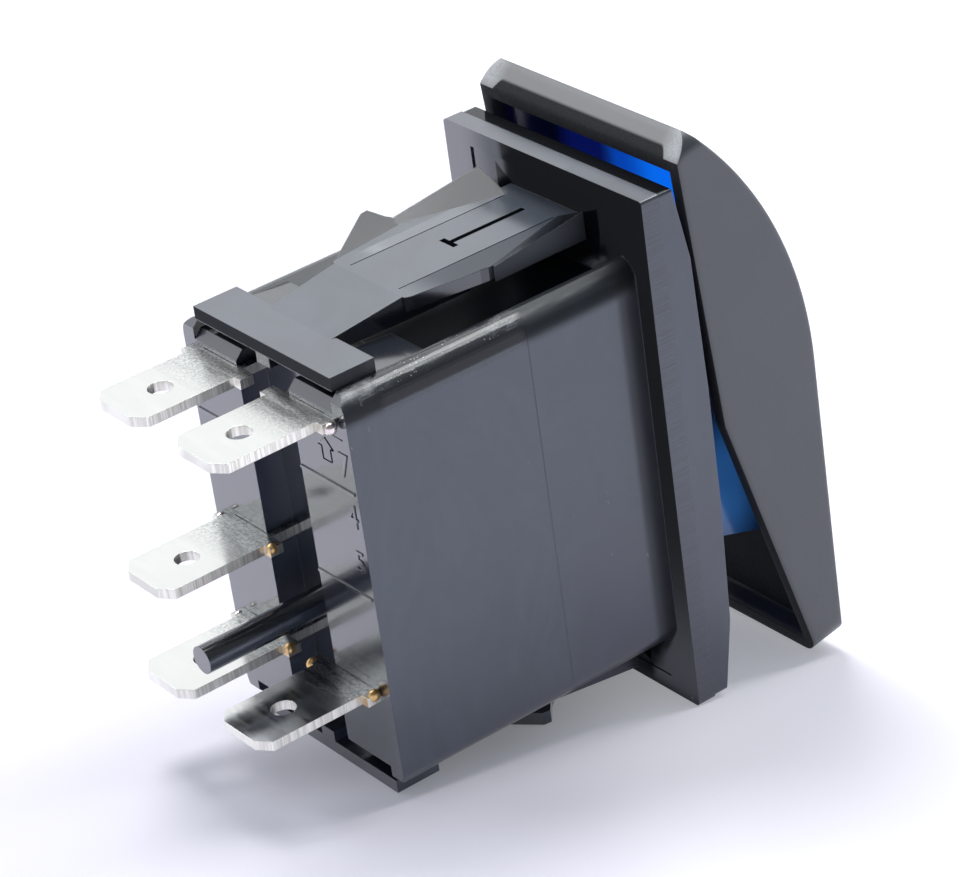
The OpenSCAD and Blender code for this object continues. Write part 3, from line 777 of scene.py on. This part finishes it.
@dataclass(frozen=True)
class BlueGuide:
    """Blue translucent plastic that carries the lamps' light to the lens windows; that light is painted: the
    guide glows, though no lamp is lit.

    Across the guide painted light and shade go from lit through colour and deep to black. Below the painted
    shade it shows as one dull painted beam, whose belt is its middle, half width and soft edge along Z.
    """

    name: str = "blue_guide"
    lit: Colour = (0.004, 0.20, 0.86)
    colour: Colour = (0.003, 0.08, 0.52)
    deep: Colour = (0.003, 0.008, 0.11)
    dull: Colour = (0.022, 0.10, 0.28)
    black: Colour = (0.001, 0.002, 0.012)
    to_colour: Span = (-7.5 * MM, -3.6 * MM)
    to_deep: Span = (-3.4 * MM, -1.0 * MM)
    to_black: Span = (2.4 * MM, 4.4 * MM)
    shade: Span = (10.0 * MM, 16.0 * MM)
    beam: Belt = (-6.2 * MM, 4.6 * MM, 3.0 * MM)
    beam_along: Span = (-11.0 * MM, -7.9 * MM)
    waver: float = 3.0 * MM
    streaks: Grain = Grain((420, 60, 60), 3.0, 0.5, 1.0)
    blotches: Grain = Grain.even(140)
    skin: Grain = Grain.even(700, 2.0)
    glow: float = 0.56
    depth: Colour = (0.3 * MM, 0.8 * MM, 4.0 * MM)
    relief: float = 0.004 * MM
    edge: float = 0.12 * MM

    def build(self) -> Material:
        """Make the finish.

        Returns:
            The material.
        """
        g = Graph(self.name)
        flow = g.total(g.both(g.noise(self.streaks), 0.6), g.both(g.noise(self.blotches), 0.4))
        reach = g.total(g.along(Axis.X), g.both(g.math("SUBTRACT", flow, 0.5), self.waver))
        # Painted light and shade: the colour runs from lit on the -X side to black past +X.
        tone = g.mix(g.ramp(reach, *self.to_colour), self.lit, self.colour)
        tone = g.mix(g.ramp(reach, *self.to_deep), tone, self.deep)
        tone = g.mix(g.ramp(reach, *self.to_black), tone, self.black)
        beam = g.both(g.band(Axis.Z, *self.beam), g.ramp(g.along(Axis.Y), *self.beam_along, 0.25, 1.0),
                      g.ramp(flow, 0.35, 0.65, 0.75, 1.0))
        # Painted shade: below the shade span the guide is black except for one dull painted beam.
        tone = g.mix(g.before(Axis.Z, *self.shade), tone, g.mix(beam, self.black, self.dull))
        g.set("Base Color", tone)
        g.set("Roughness", 0.16)
        g.set("IOR", 1.58)
        g.set("Transmission Weight", 0.25)
        g.set("Subsurface Weight", 0.3)
        g.set("Subsurface Radius", self.depth)
        # Painted glow: the guide shines by emission, though no lamp is lit.
        g.set("Emission Color", tone)
        g.set("Emission Strength", self.glow)
        g.relief(g.noise(self.skin), self.relief, self.edge)
        return g.material


@dataclass(frozen=True)
class TinnedBlade:
    """Bright tin over brass: sheared edges with fine lines, bare brass at the root."""

    name: str = "tinned_blade"
    tin: Colour = (0.91, 0.925, 0.90)
    brass: Colour = (0.78, 0.44, 0.13)
    shear_dark: Colour = (0.70, 0.69, 0.63)
    shear_light: Colour = (0.95, 0.94, 0.88)
    coarse_grey: Colour = (0.40, 0.42, 0.43)
    shank: Span = (3.2 * MM, 3.35 * MM)
    column: float = 5.2 * MM
    ear_end: Span = (28.6 * MM, 28.9 * MM)
    near_row: Span = (6.0 * MM, 6.5 * MM)
    lamp_row: Span = (13.6 * MM, 13.8 * MM)
    coarse_root: Span = (28.3 * MM, 32.8 * MM)
    shear: Grain = Grain((200, 5200, 160), 2.0, 0.65)
    grain: Grain = Grain.even(4200, 2.0, 0.7)
    polish: Grain = Grain((220, 1800, 220))
    flat_rough: Span = (0.11, 0.20)
    shear_rough: float = 0.36
    coarse_rough: float = 0.14
    relief: float = 0.006 * MM
    edge: float = 0.07 * MM
    shear_height: float = 2.5
    polish_height: float = 0.12
    grain_height: float = 0.8

    def build(self) -> Material:
        """Make the finish.

        Returns:
            The material.
        """
        g = Graph(self.name)
        flat = g.ramp(g.size(g.facing(Axis.Z)), 0.4, 0.8)
        shear, grain, polish = g.noise(self.shear), g.noise(self.grain), g.noise(self.polish)
        off = g.size(g.math("SUBTRACT", g.size(g.along(Axis.X)), self.column))
        bare = g.both(g.ramp(off, *self.shank), g.before(Axis.Y, *self.ear_end),
                      g.ramp(g.facing(Axis.X), -0.5, 0.3), g.before(Axis.X, *self.near_row),
                      g.before(Axis.Z, *self.lamp_row))
        coarse = g.both(flat, g.before(Axis.Y, *self.coarse_root))
        tone = g.mix(flat, g.mix(g.ramp(shear, 0.40, 0.62), self.shear_dark, self.shear_light), self.tin)
        tone = g.mix(bare, tone, self.brass)
        tone = g.mix(g.both(coarse, g.ramp(grain, 0.35, 0.65, 0.95, 0.25)), tone, self.coarse_grey)
        g.set("Base Color", tone)
        g.set("Metallic", 1.0)
        rough = g.blend(flat, self.shear_rough, g.ramp(polish, 0.3, 0.7, *self.flat_rough))
        g.set("Roughness", g.total(rough, g.both(coarse, self.coarse_rough)))
        worked = g.total(g.both(polish, self.polish_height), g.both(grain, coarse, self.grain_height))
        g.relief(g.blend(flat, g.both(shear, self.shear_height), worked), self.relief, self.edge)
        return g.material


@dataclass(frozen=True)
class PlainMetal:
    """A small metal piece with drawn or rolled lines."""

    name: str
    colour: Colour
    rough: float = 0.25
    lines: Point = (3000.0, 300.0, 3000.0)
    dull: float = 0.78
    smoother: float = 0.06
    rougher: float = 0.08
    relief: float = 0.003 * MM
    edge: float = 0.05 * MM

    def build(self) -> Material:
        """Make the finish.

        Returns:
            The material.
        """
        g = Graph(self.name)
        lines = g.noise(Grain(self.lines, 3.0, 0.6))
        g.set("Base Color", g.mottle(g.noise(Grain.even(400)), (0.35, 0.75), self.colour, self.dull))
        g.set("Metallic", 1.0)
        g.set("Roughness", g.ramp(lines, 0.3, 0.7, self.rough - self.smoother, self.rough + self.rougher))
        g.relief(lines, self.relief, self.edge)
        return g.material


@dataclass(frozen=True)
class SmoothPlastic:
    """A small smooth plastic piece, clear or solid."""

    name: str
    colour: Colour
    rough: float = 0.25
    clear: float = 0.0
    dull: float = 0.9
    spread: float = 0.04
    relief: float = 0.003 * MM
    edge: float = 0.06 * MM

    def build(self) -> Material:
        """Make the finish.

        Returns:
            The material.
        """
        g = Graph(self.name)
        cloud = g.noise(Grain.even(500))
        g.set("Base Color", g.mottle(cloud, (0.35, 0.7), self.colour, self.dull))
        g.set("Roughness", g.ramp(cloud, 0.3, 0.7, self.rough - self.spread, self.rough + self.spread))
        g.set("Transmission Weight", self.clear)
        g.set("IOR", 1.5)
        g.relief(cloud, self.relief, self.edge)
        return g.material


@dataclass(frozen=True)
class BandedResistor:
    """Lacquered resistor body with its colour rings, and tinned leads."""

    name: str = "banded_resistor"
    start: float = 0.5 * MM
    length: float = 3.4 * MM
    lacquer: Colour = (0.72, 0.56, 0.36)
    lead: Colour = (0.72, 0.72, 0.72)
    rings: tuple[tuple[float, Colour], ...] = (
        (0.16, (0.28, 0.10, 0.03)), (0.34, (0.01, 0.01, 0.01)),
        (0.52, (0.55, 0.04, 0.02)), (0.84, (0.62, 0.42, 0.08)))
    ring_half: float = 0.14 * MM
    soft: float = 0.03 * MM
    relief: float = 0.003 * MM
    edge: float = 0.05 * MM

    def build(self) -> Material:
        """Make the finish.

        Returns:
            The material.
        """
        g = Graph(self.name)
        tone: Socket | Colour = self.lacquer
        for place, colour in self.rings:
            ring = g.band(Axis.X, self.start + place * self.length, self.ring_half, self.soft)
            tone = g.mix(ring, tone, colour)
        stop = self.start + self.length
        beyond = g.either(g.before(Axis.X, self.start - self.soft, self.start),
                          g.past(Axis.X, stop, stop + self.soft))
        g.set("Base Color", g.mix(beyond, tone, self.lead))
        g.set("Metallic", beyond)
        g.set("Roughness", 0.28)
        g.relief(g.noise(Grain.even(1500, 2.0)), self.relief, self.edge)
        return g.material


# ---------------------------------------------------------------- sub-assemblies


@dataclass
class Assembly:
    """A group of CAD nodes that are dressed together."""

    finishes: dict[str, object] = field(default_factory=dict)

    def dress(self) -> None:
        """Give each of the group's CAD nodes its finish."""
        made: dict[object, Material] = {}
        for node, finish in self.finishes.items():
            material = made.get(finish) or finish.build()
            made[finish] = material
            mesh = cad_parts[node].data
            mesh.materials.clear()
            mesh.materials.append(material)
            LOG.info("dressed %s with %s", node, material.name)


@dataclass(frozen=True)
class Piece:
    """A new mesh piece and its body; its material slot is kept but not used."""

    name: str
    slot: str
    body: Body = Body.HOUSING

    def place(self, work: bmesh.types.BMesh, material: Material, smooth: bool = False) -> bpy.types.Object:
        """Turn a finished bmesh into an object that rides on the body.

        Args:
            work: the piece's bmesh, in object space, which is freed.
            material: its finish.
            smooth: whether its faces are shaded smooth.

        Returns:
            The object.
        """
        for face in work.faces:
            face.smooth = smooth
        mesh = bpy.data.meshes.new(self.name)
        work.to_mesh(mesh)
        work.free()
        mesh.materials.append(material)
        made = bpy.data.objects.new(self.name, mesh)
        bpy.context.scene.collection.objects.link(made)
        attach(made, self.body.value)
        LOG.info("made %s, %d faces, on %s", self.name, len(mesh.polygons), self.body.value)
        return made


@dataclass(frozen=True)
class RearMarks:
    """Raised terminal numerals, an arrow and a rule on the rear of the base."""

    slot: str = "base_plastic"
    face: float = 27.3 * MM
    rise: float = 0.08 * MM
    sunk: float = 0.02 * MM
    stroke: float = 0.12 * MM
    arrow_tip: Span = (-7.26 * MM, 12.85 * MM)
    arrow_half: float = 0.97 * MM
    arrow_head: float = 0.88 * MM
    arrow_stem: float = 0.55 * MM
    arrow_long: float = 2.0 * MM
    numerals: tuple[tuple[str, float, float, float], ...] = (
        ("7", -9.40 * MM, 10.17 * MM, 2.05 * MM),
        ("4", -9.45 * MM, 5.95 * MM, 2.0 * MM),
        ("5", -9.45 * MM, 2.10 * MM, 1.8 * MM))
    slim: float = 0.558
    rule: tuple[float, float, float] = (-7.6 * MM, -9.6 * MM, 13.36 * MM)
    rule_lift: float = 0.3
    rule_edge: float = 0.03 * MM

    def build(self, material: Material) -> None:
        """Make the marks.

        Args:
            material: the base's own finish.
        """
        self._arrow(material)
        for text, middle, foot, tall in self.numerals:
            self._numeral(text, middle, foot, tall, material)
        self._rule(material)

    def _rule(self, material: Material) -> None:
        """Raise the short rule over the arrow.

        Args:
            material: its finish.
        """
        start, end, height = self.rule
        work = bmesh.new()
        bmesh.ops.create_cube(work, size=1.0)
        bmesh.ops.scale(work, verts=work.verts, vec=(abs(end - start), self.rise, self.stroke))
        middle = ((start + end) / 2, self.face + self.rule_lift * self.rise, height)
        bmesh.ops.translate(work, verts=work.verts, vec=middle)
        bmesh.ops.bevel(work, geom=work.edges[:], offset=self.rule_edge, offset_type="OFFSET", segments=2,
                        profile=0.5, affect="EDGES", material=-1)
        Piece("rear_rule_1", self.slot).place(work, material)

    def _arrow(self, material: Material) -> None:
        """Raise the block arrow's outline.

        Args:
            material: its finish.
        """
        tip_x, tip_z = self.arrow_tip
        low, neck = tip_z - self.arrow_long, tip_z - self.arrow_head
        outline = ((0.0, tip_z), (self.arrow_half, neck), (self.arrow_stem, neck), (self.arrow_stem, low),
                   (-self.arrow_stem, low), (-self.arrow_stem, neck), (-self.arrow_half, neck))
        work = bmesh.new()
        corners = [work.verts.new((tip_x + x, self.face - self.sunk, z)) for x, z in outline]
        blade = work.faces.new(corners)
        rim = bmesh.ops.inset_individual(work, faces=[blade], thickness=self.stroke, use_even_offset=True)
        raised = bmesh.ops.extrude_face_region(work, geom=rim["faces"])
        up = [v for v in raised["geom"] if isinstance(v, bmesh.types.BMVert)]
        bmesh.ops.translate(work, verts=up, vec=(0, self.rise, 0))
        bmesh.ops.delete(work, geom=[blade], context="FACES")
        bmesh.ops.recalc_face_normals(work, faces=work.faces[:])
        Piece("rear_arrow", self.slot).place(work, material)

    def _numeral(self, text: str, middle: float, foot: float, tall: float, material: Material) -> None:
        """Raise one numeral, read from behind.

        Args:
            text: the numeral.
            middle: its centre across.
            foot: its lower edge.
            tall: its height.
            material: its finish.
        """
        curve = bpy.data.curves.new(f"numeral_{text}", "FONT")
        curve.body = text
        curve.align_x = "CENTER"
        curve.extrude = 0.5
        stand = bpy.data.objects.new(f"numeral_{text}", curve)
        bpy.context.scene.collection.objects.link(stand)
        bpy.context.view_layer.update()
        shape = bpy.data.meshes.new_from_object(stand.evaluated_get(bpy.context.evaluated_depsgraph_get()))
        bpy.data.objects.remove(stand)
        bpy.data.curves.remove(curve)
        work = bmesh.new()
        work.from_mesh(shape)
        bpy.data.meshes.remove(shape)
        high = max(v.co.y for v in work.verts)
        right = max(v.co.x for v in work.verts)
        wide = right - min(v.co.x for v in work.verts)
        bmesh.ops.translate(work, verts=work.verts, vec=(wide / 2 - right, 0, 0.5))
        size = (self.slim * tall / wide, tall / high, self.rise + self.sunk)
        bmesh.ops.scale(work, verts=work.verts, vec=size)
        root = self.face - self.sunk
        stand_up = Matrix(((-1, 0, 0, middle), (0, 0, 1, root), (0, 1, 0, foot), (0, 0, 0, 1)))
        bmesh.ops.transform(work, verts=work.verts, matrix=stand_up)
        bmesh.ops.recalc_face_normals(work, faces=work.faces[:])
        Piece(f"rear_numeral_{text}", self.slot).place(work, material)


@dataclass(frozen=True)
class BarShelf:
    """Low shelves beside the clip, where each rear bar runs down to the recess."""

    across: Span = (4.42 * MM, 8.80 * MM)
    along: tuple[float, float, float] = (18.45 * MM, 19.85 * MM, 22.95 * MM)
    top: tuple[float, float, float] = (16.72 * MM, 16.78 * MM, 16.98 * MM)
    thick: float = 0.7 * MM
    edge: float = 0.06 * MM
    sharp: float = 0.5

    def build(self, material: Material) -> None:
        """Make the four shelves, two at each end.

        Args:
            material: the bezel's own finish.
        """
        work = bmesh.new()
        for side in (-1, 1):
            for end in (-1, 1):
                self._block(work, side, end)
        for v in work.verts:
            if abs(v.co.z) > self.top[0] - self.thick / 2:
                nearest = min(range(3), key=lambda i: abs(self.along[i] - v.co.y))
                v.co.z = math.copysign(self.top[nearest], v.co.z)
        bmesh.ops.recalc_face_normals(work, faces=work.faces[:])
        sharp = [e for e in work.edges if e.is_manifold and e.calc_face_angle(0.0) > self.sharp]
        bmesh.ops.bevel(work, geom=sharp, offset=self.edge, offset_type="OFFSET", segments=2, profile=0.5,
                        affect="EDGES", material=-1)
        Piece("bar_shelf", "bezel_plastic").place(work, material)

    def _block(self, work: bmesh.types.BMesh, side: int, end: int) -> None:
        """Add one shelf as a block with a crease across its top.

        Args:
            work: the bmesh that takes the block.
            side: which side it is on, -1 or 1.
            end: which end it is on, -1 or 1.
        """
        inner, outer = self.across
        start, crease, stop = self.along
        made = bmesh.ops.create_cube(work, size=1.0)["verts"]
        middle = (side * (inner + outer) / 2, (start + stop) / 2, end * (self.top[0] - self.thick / 2))
        bmesh.ops.scale(work, verts=made, vec=(outer - inner, stop - start, self.thick))
        bmesh.ops.translate(work, verts=made, vec=middle)
        edges = list({edge for v in made for edge in v.link_edges})
        faces = list({face for v in made for face in v.link_faces})
        bmesh.ops.bisect_plane(work, geom=made + edges + faces, plane_co=(0, crease, 0), plane_no=(0, 1, 0))


@dataclass(frozen=True)
class RootBeads:
    """Small solder beads on the corners of the terminals' roots, of bare brass or tin."""

    size: float = 0.50 * MM
    shape: Point = (0.8, 1.0, 1.05)
    places: tuple[tuple[str, float, float, float, bool], ...] = (
        ("7_near", -9.35 * MM, 27.9 * MM, 14.55 * MM, False),
        ("2_near", 1.6 * MM, 28.1 * MM, 0.1 * MM, True),
        ("2_far", 8.7 * MM, 28.0 * MM, 0.0, False),
        ("3_near", 1.6 * MM, 28.1 * MM, -8.9 * MM, True),
        ("3_far", 8.7 * MM, 28.0 * MM, -9.0 * MM, False),
        ("6_near", -8.95 * MM, 27.75 * MM, -8.7 * MM, True),
        ("6_far", -1.5 * MM, 28.2 * MM, -8.9 * MM, True))

    def build(self) -> None:
        """Make the beads."""
        brass = PlainMetal("bead_brass", (0.93, 0.62, 0.27), 0.36, EVEN_LINES).build()
        tin = PlainMetal("bead_tin", (0.95, 0.87, 0.86), 0.26, EVEN_LINES).build()
        for name, x, y, z, bare in self.places:
            work = bmesh.new()
            bmesh.ops.create_icosphere(work, subdivisions=3, radius=1.0)
            bmesh.ops.scale(work, verts=work.verts, vec=tuple(part * self.size for part in self.shape))
            bmesh.ops.translate(work, verts=work.verts, vec=(x, y, z))
            Piece(f"root_bead_{name}", "tinned_brass").place(work, brass if bare else tin, smooth=True)


@dataclass(frozen=True)
class PlungerCoil:
    """The plunger's spring."""

    node: str = "plunger_spring"
    joint: str = "plunger_slide"
    weld: float = 0.001 * MM

    def build(self) -> None:
        """Make the coil from its node's own turns."""
        work = bmesh.new()
        work.from_mesh(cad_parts[self.node].data)
        bmesh.ops.remove_doubles(work, verts=work.verts, dist=self.weld)
        steel = PlainMetal("coil_steel", STEEL, 0.22).build()
        coil = Piece("plunger_coil", "spring_steel", Body.ROCKER).place(work, steel, smooth=True)
        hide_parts(self.node)
        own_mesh(coil)


@dataclass
class Housing(Assembly):
    """Bezel, base and everything that is fixed in them."""

    def build(self) -> None:
        """Dress the nodes and add the moulded marks."""
        shell = MouldedShell("bezel_shell")
        base = MouldedShell("base_shell")
        tin = TinnedBlade()
        wire = PlainMetal("lead_wire", (0.75, 0.75, 0.74), 0.22)
        epoxy = SmoothPlastic("lamp_epoxy", (0.75, 0.88, 1.0), 0.12, 0.85)
        ringed = BandedResistor()
        self.finishes = {
            "bezel_frame": shell, "base_housing": base,
            "terminal_2": tin, "terminal_3": tin, "terminal_6": tin, "terminal_7": tin, "terminal_8": tin,
            "fixed_contact": PlainMetal("contact_silver", SILVER, 0.18, EVEN_LINES),
            "led_upper": epoxy, "led_lower": epoxy, "led_legs_upper": wire, "led_legs_lower": wire,
            "resistor_upper": ringed, "resistor_lower": ringed}
        self.dress()
        RearMarks().build(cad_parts["base_housing"].data.materials[0])
        BarShelf().build(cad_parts["bezel_frame"].data.materials[0])
        RootBeads().build()


@dataclass
class Rocker(Assembly):
    """Cap, light guide, lenses, plunger and its spring."""

    def build(self) -> None:
        """Dress the nodes."""
        lit: Colour = (0.006, 0.20, 0.84)
        inner: Colour = (0.004, 0.12, 0.62)
        # The lenses glow with painted light too, are never in the painted shade, and fade only to the inner
        # blue.
        lens = BlueGuide("blue_lens", lit, (0.006, 0.16, 0.74), inner, black=inner,
                         shade=(-60.0 * MM, -50.0 * MM), glow=0.25)
        self.finishes = {
            "rocker_cap": GrainedCap(), "rocker_core": BlueGuide(), "lens_upper": lens, "lens_lower": lens,
            "plunger": SmoothPlastic("plunger_nylon", (0.86, 0.85, 0.80), 0.32),
            "plunger_spring": PlainMetal("spring_steel", STEEL, 0.22)}
        self.dress()
        PlungerCoil().build()


@dataclass
class ContactBlade(Assembly):
    """The tilting contact blade and its button."""

    def build(self) -> None:
        """Dress the nodes."""
        self.finishes = {
            "contact_blade": PlainMetal("copper_alloy", (0.80, 0.45, 0.25), 0.24, (300.0, 3000.0, 3000.0)),
            "moving_contact": PlainMetal("button_silver", SILVER, 0.18, EVEN_LINES)}
        self.dress()


# ---------------------------------------------------------------- studio


@dataclass(frozen=True)
class Panel:
    """A rectangular lamp that faces a target, in metres and watts."""

    name: str
    place: Point
    target: Point
    size: Span
    power: float
    colour: Colour

    def hang(self) -> None:
        """Add the lamp to the scene."""
        data = bpy.data.lights.new(self.name, "AREA")
        data.shape = "RECTANGLE"
        data.size, data.size_y = self.size
        data.energy = self.power
        data.color = self.colour
        lamp = bpy.data.objects.new(self.name, data)
        way = Vector(self.target) - Vector(self.place)
        lamp.matrix_world = Matrix.Translation(self.place) @ way.to_track_quat("-Z", "Y").to_matrix().to_4x4()
        bpy.context.scene.collection.objects.link(lamp)


@dataclass(frozen=True)
class Studio:
    """Camera, pale floor and soft light."""

    azimuth: float = 236.16
    elevation: float = 29.12
    roll: float = 8.25
    lens: float = 140.85
    sensor: float = 36.0
    clip: Span = (0.01, 20.0)
    eye: Point = (-211.6 * MM, 150.87 * MM, 143.73 * MM)

    rest_low: Span = (0.0, -22.4 * MM)
    rest_high: Span = (27.0 * MM, -18.1 * MM)
    floor_gap: float = 0.02 * MM
    floor_radius: float = 3.0
    floor_sides: int = 96
    floor_colour: Colour = (0.84, 0.825, 0.93)
    floor_glow: float = 0.15
    fade: Span = (0.11, 0.50)
    # Painted light on the floor: extra glow towards -X and -Y lifts the switch's shadow there.
    shadow_lift_way: Point = (-0.55, -0.83, 0.0)
    shadow_lift_from: Span = (-0.010, 0.008)
    shadow_lift_glow: float = 0.15

    sky: float = 0.33
    sky_colour: Colour = (0.80, 0.87, 1.0)
    glow_colour: Colour = (0.97, 0.985, 1.0)
    backdrop: Colour = (0.985, 0.99, 1.0)
    open_side: float = 0.16
    open_reach: Span = (-0.25, 0.45)
    white_side: Point = (0.83, -0.55, 0.05)
    panels: tuple[Panel, ...] = (
        Panel("overhead", (-0.05, -0.39, 0.70), (0.0, 0.01, 0.0), (0.17, 0.75), 1.9, (1.0, 0.985, 0.96)),
        Panel("top", (0.28, -0.11, 0.67), (0.0, 0.01, 0.0), (0.26, 0.26), 2.9, (1.0, 0.99, 0.97)),
        Panel("window", (0.36, 0.24, 0.46), (0.0, -0.01, 0.02), (0.30, 0.18), 0.8, (0.98, 0.99, 1.0)))

    def build(self) -> None:
        """Make the camera, the floor, the world and the lamps."""
        self._camera()
        self._floor()
        self._world()
        for panel in self.panels:
            panel.hang()
        bpy.context.scene.view_settings.view_transform = "Standard"

    def _camera(self) -> None:
        """Place the camera on its line of sight."""
        az, el = math.radians(self.azimuth), math.radians(self.elevation)
        forward = Vector((-math.sin(az) * math.cos(el), math.cos(az) * math.cos(el), -math.sin(el)))
        level = forward.cross(Vector((0, 0, 1))).normalized()
        right = Matrix.Rotation(math.radians(self.roll), 3, forward) @ level
        basis = Matrix((right, right.cross(forward), -forward)).transposed()
        data = bpy.data.cameras.new("camera")
        data.lens = self.lens
        data.sensor_width = self.sensor
        data.clip_start, data.clip_end = self.clip
        camera = bpy.data.objects.new("camera", data)
        camera.matrix_world = Matrix.Translation(self.eye) @ basis.to_4x4()
        bpy.context.scene.collection.objects.link(camera)
        bpy.context.scene.camera = camera

    def _floor(self) -> None:
        """Lay a pale floor under the switch, which leans on its flange and its rear bar."""
        rise = math.atan2(self.rest_high[1] - self.rest_low[1], self.rest_high[0] - self.rest_low[0])
        foot = (0, self.rest_low[0], self.rest_low[1] - self.floor_gap)
        mesh = bpy.data.meshes.new("floor")
        work = bmesh.new()
        bmesh.ops.create_circle(work, cap_ends=True, segments=self.floor_sides, radius=self.floor_radius)
        bmesh.ops.rotate(work, verts=work.verts, cent=(0, 0, 0), matrix=Matrix.Rotation(rise, 3, "X"))
        bmesh.ops.translate(work, verts=work.verts, vec=foot)
        work.to_mesh(mesh)
        work.free()
        mesh.materials.append(self._floor_finish())
        floor = bpy.data.objects.new("floor", mesh)
        bpy.context.scene.collection.objects.link(floor)

    def _floor_finish(self) -> Material:
        """Make the floor's finish, whose glow is only seen directly, mirrored or through clear plastic.

        Returns:
            The material.
        """
        g = Graph("pale_floor")
        g.set("Base Color", self.floor_colour)
        g.set("Roughness", 0.9)
        g.set("Specular IOR Level", 0.0)
        seen = g.tree.nodes.new("ShaderNodeLightPath").outputs
        shown = g.either(seen["Is Camera Ray"], seen["Is Glossy Ray"], seen["Is Transmission Ray"])
        spread = g.ramp(self._measure(g.tree, "LENGTH", "Object"), *self.fade, self.floor_glow, 1.0)
        # Painted light: a glow that lifts the floor's shadow on one side of the switch.
        aside = self._measure(g.tree, "DOT_PRODUCT", "Object", self.shadow_lift_way)
        clear = g.ramp(aside, *self.shadow_lift_from, 0.0, self.shadow_lift_glow)
        glow = g.tree.nodes.new("ShaderNodeEmission")
        g.feed(glow.inputs["Color"], self.glow_colour)
        g.feed(glow.inputs["Strength"], g.total(spread, clear))
        lit = g.tree.nodes.new("ShaderNodeAddShader")
        g.feed(lit.inputs[0], g.surface.outputs[0])
        g.feed(lit.inputs[1], glow.outputs[0])
        g.feed(g.tree.nodes["Material Output"].inputs[0],
               self._chosen(g.tree, shown, g.surface.outputs[0], lit.outputs[0]))
        return g.material

    def _world(self) -> None:
        """Light the scene evenly, and show a white surround that is open towards the near side."""
        world = bpy.data.worlds.new("studio")
        bpy.context.scene.world = world
        world.use_nodes = True
        world.cycles.sampling_method = "NONE"
        tree = world.node_tree
        soft = self._background(tree.nodes["Background"], self.sky_colour, self.sky)
        white = self._background(tree.nodes.new("ShaderNodeBackground"), self.backdrop, 1.0)
        around = tree.nodes.new("ShaderNodeBackground")
        reach = tree.nodes.new("ShaderNodeMapRange")
        reach.interpolation_type = "SMOOTHSTEP"
        for slot, number in enumerate((*self.open_reach, self.open_side, 1.0), start=1):
            reach.inputs[slot].default_value = number
        tree.links.new(self._measure(tree, "DOT_PRODUCT", "Generated", self.white_side), reach.inputs[0])
        tree.links.new(reach.outputs[0], around.inputs["Strength"])
        seen = tree.nodes.new("ShaderNodeLightPath").outputs
        mirrored = self._chosen(tree, seen["Is Glossy Ray"], soft,
                                self._background(around, self.glow_colour))
        clear = tree.nodes.new("ShaderNodeMath")
        clear.operation = "MAXIMUM"
        tree.links.new(seen["Is Camera Ray"], clear.inputs[0])
        tree.links.new(seen["Is Transmission Ray"], clear.inputs[1])
        shown = self._chosen(tree, clear.outputs[0], mirrored, white)
        tree.links.new(shown, tree.nodes["World Output"].inputs[0])

    @staticmethod
    def _background(node: bpy.types.Node, colour: Colour, strength: float | None = None) -> Socket:
        """Set a background's look.

        Args:
            node: the background.
            colour: its colour.
            strength: its strength, or None where a link gives it.

        Returns:
            The background's output.
        """
        node.inputs["Color"].default_value = (*colour, 1.0)
        if strength is not None:
            node.inputs["Strength"].default_value = strength
        return node.outputs[0]

    @staticmethod
    def _measure(tree: NodeTree, operation: str, place: str, way: Point = (0.0, 0.0, 0.0)) -> Socket:
        """Return a coordinate's length, or how far it lies along a way.

        Args:
            tree: the node tree.
            operation: LENGTH or DOT_PRODUCT.
            place: the coordinate, Object or Generated.
            way: the way, for DOT_PRODUCT.

        Returns:
            The measure.
        """
        node = tree.nodes.new("ShaderNodeVectorMath")
        node.operation = operation
        node.inputs[1].default_value = way
        tree.links.new(tree.nodes.new("ShaderNodeTexCoord").outputs[place], node.inputs[0])
        return node.outputs["Value"]

    @staticmethod
    def _chosen(tree: NodeTree, share: Socket, first: Socket, second: Socket) -> Socket:
        """Mix two shaders.

        Args:
            tree: the node tree.
            share: the second shader's share.
            first: the first shader.
            second: the second shader.

        Returns:
            The mixed shader.
        """
        node = tree.nodes.new("ShaderNodeMixShader")
        for slot, source in enumerate((share, first, second)):
            tree.links.new(source, node.inputs[slot])
        return node.outputs[0]


def main() -> None:
    """Build the switch's looks and the studio."""
    logging.basicConfig(level=logging.INFO)
    Studio().build()
    for group in (Housing(), Rocker(), ContactBlade()):
        group.build()


if __name__ == "__main__":
    main()
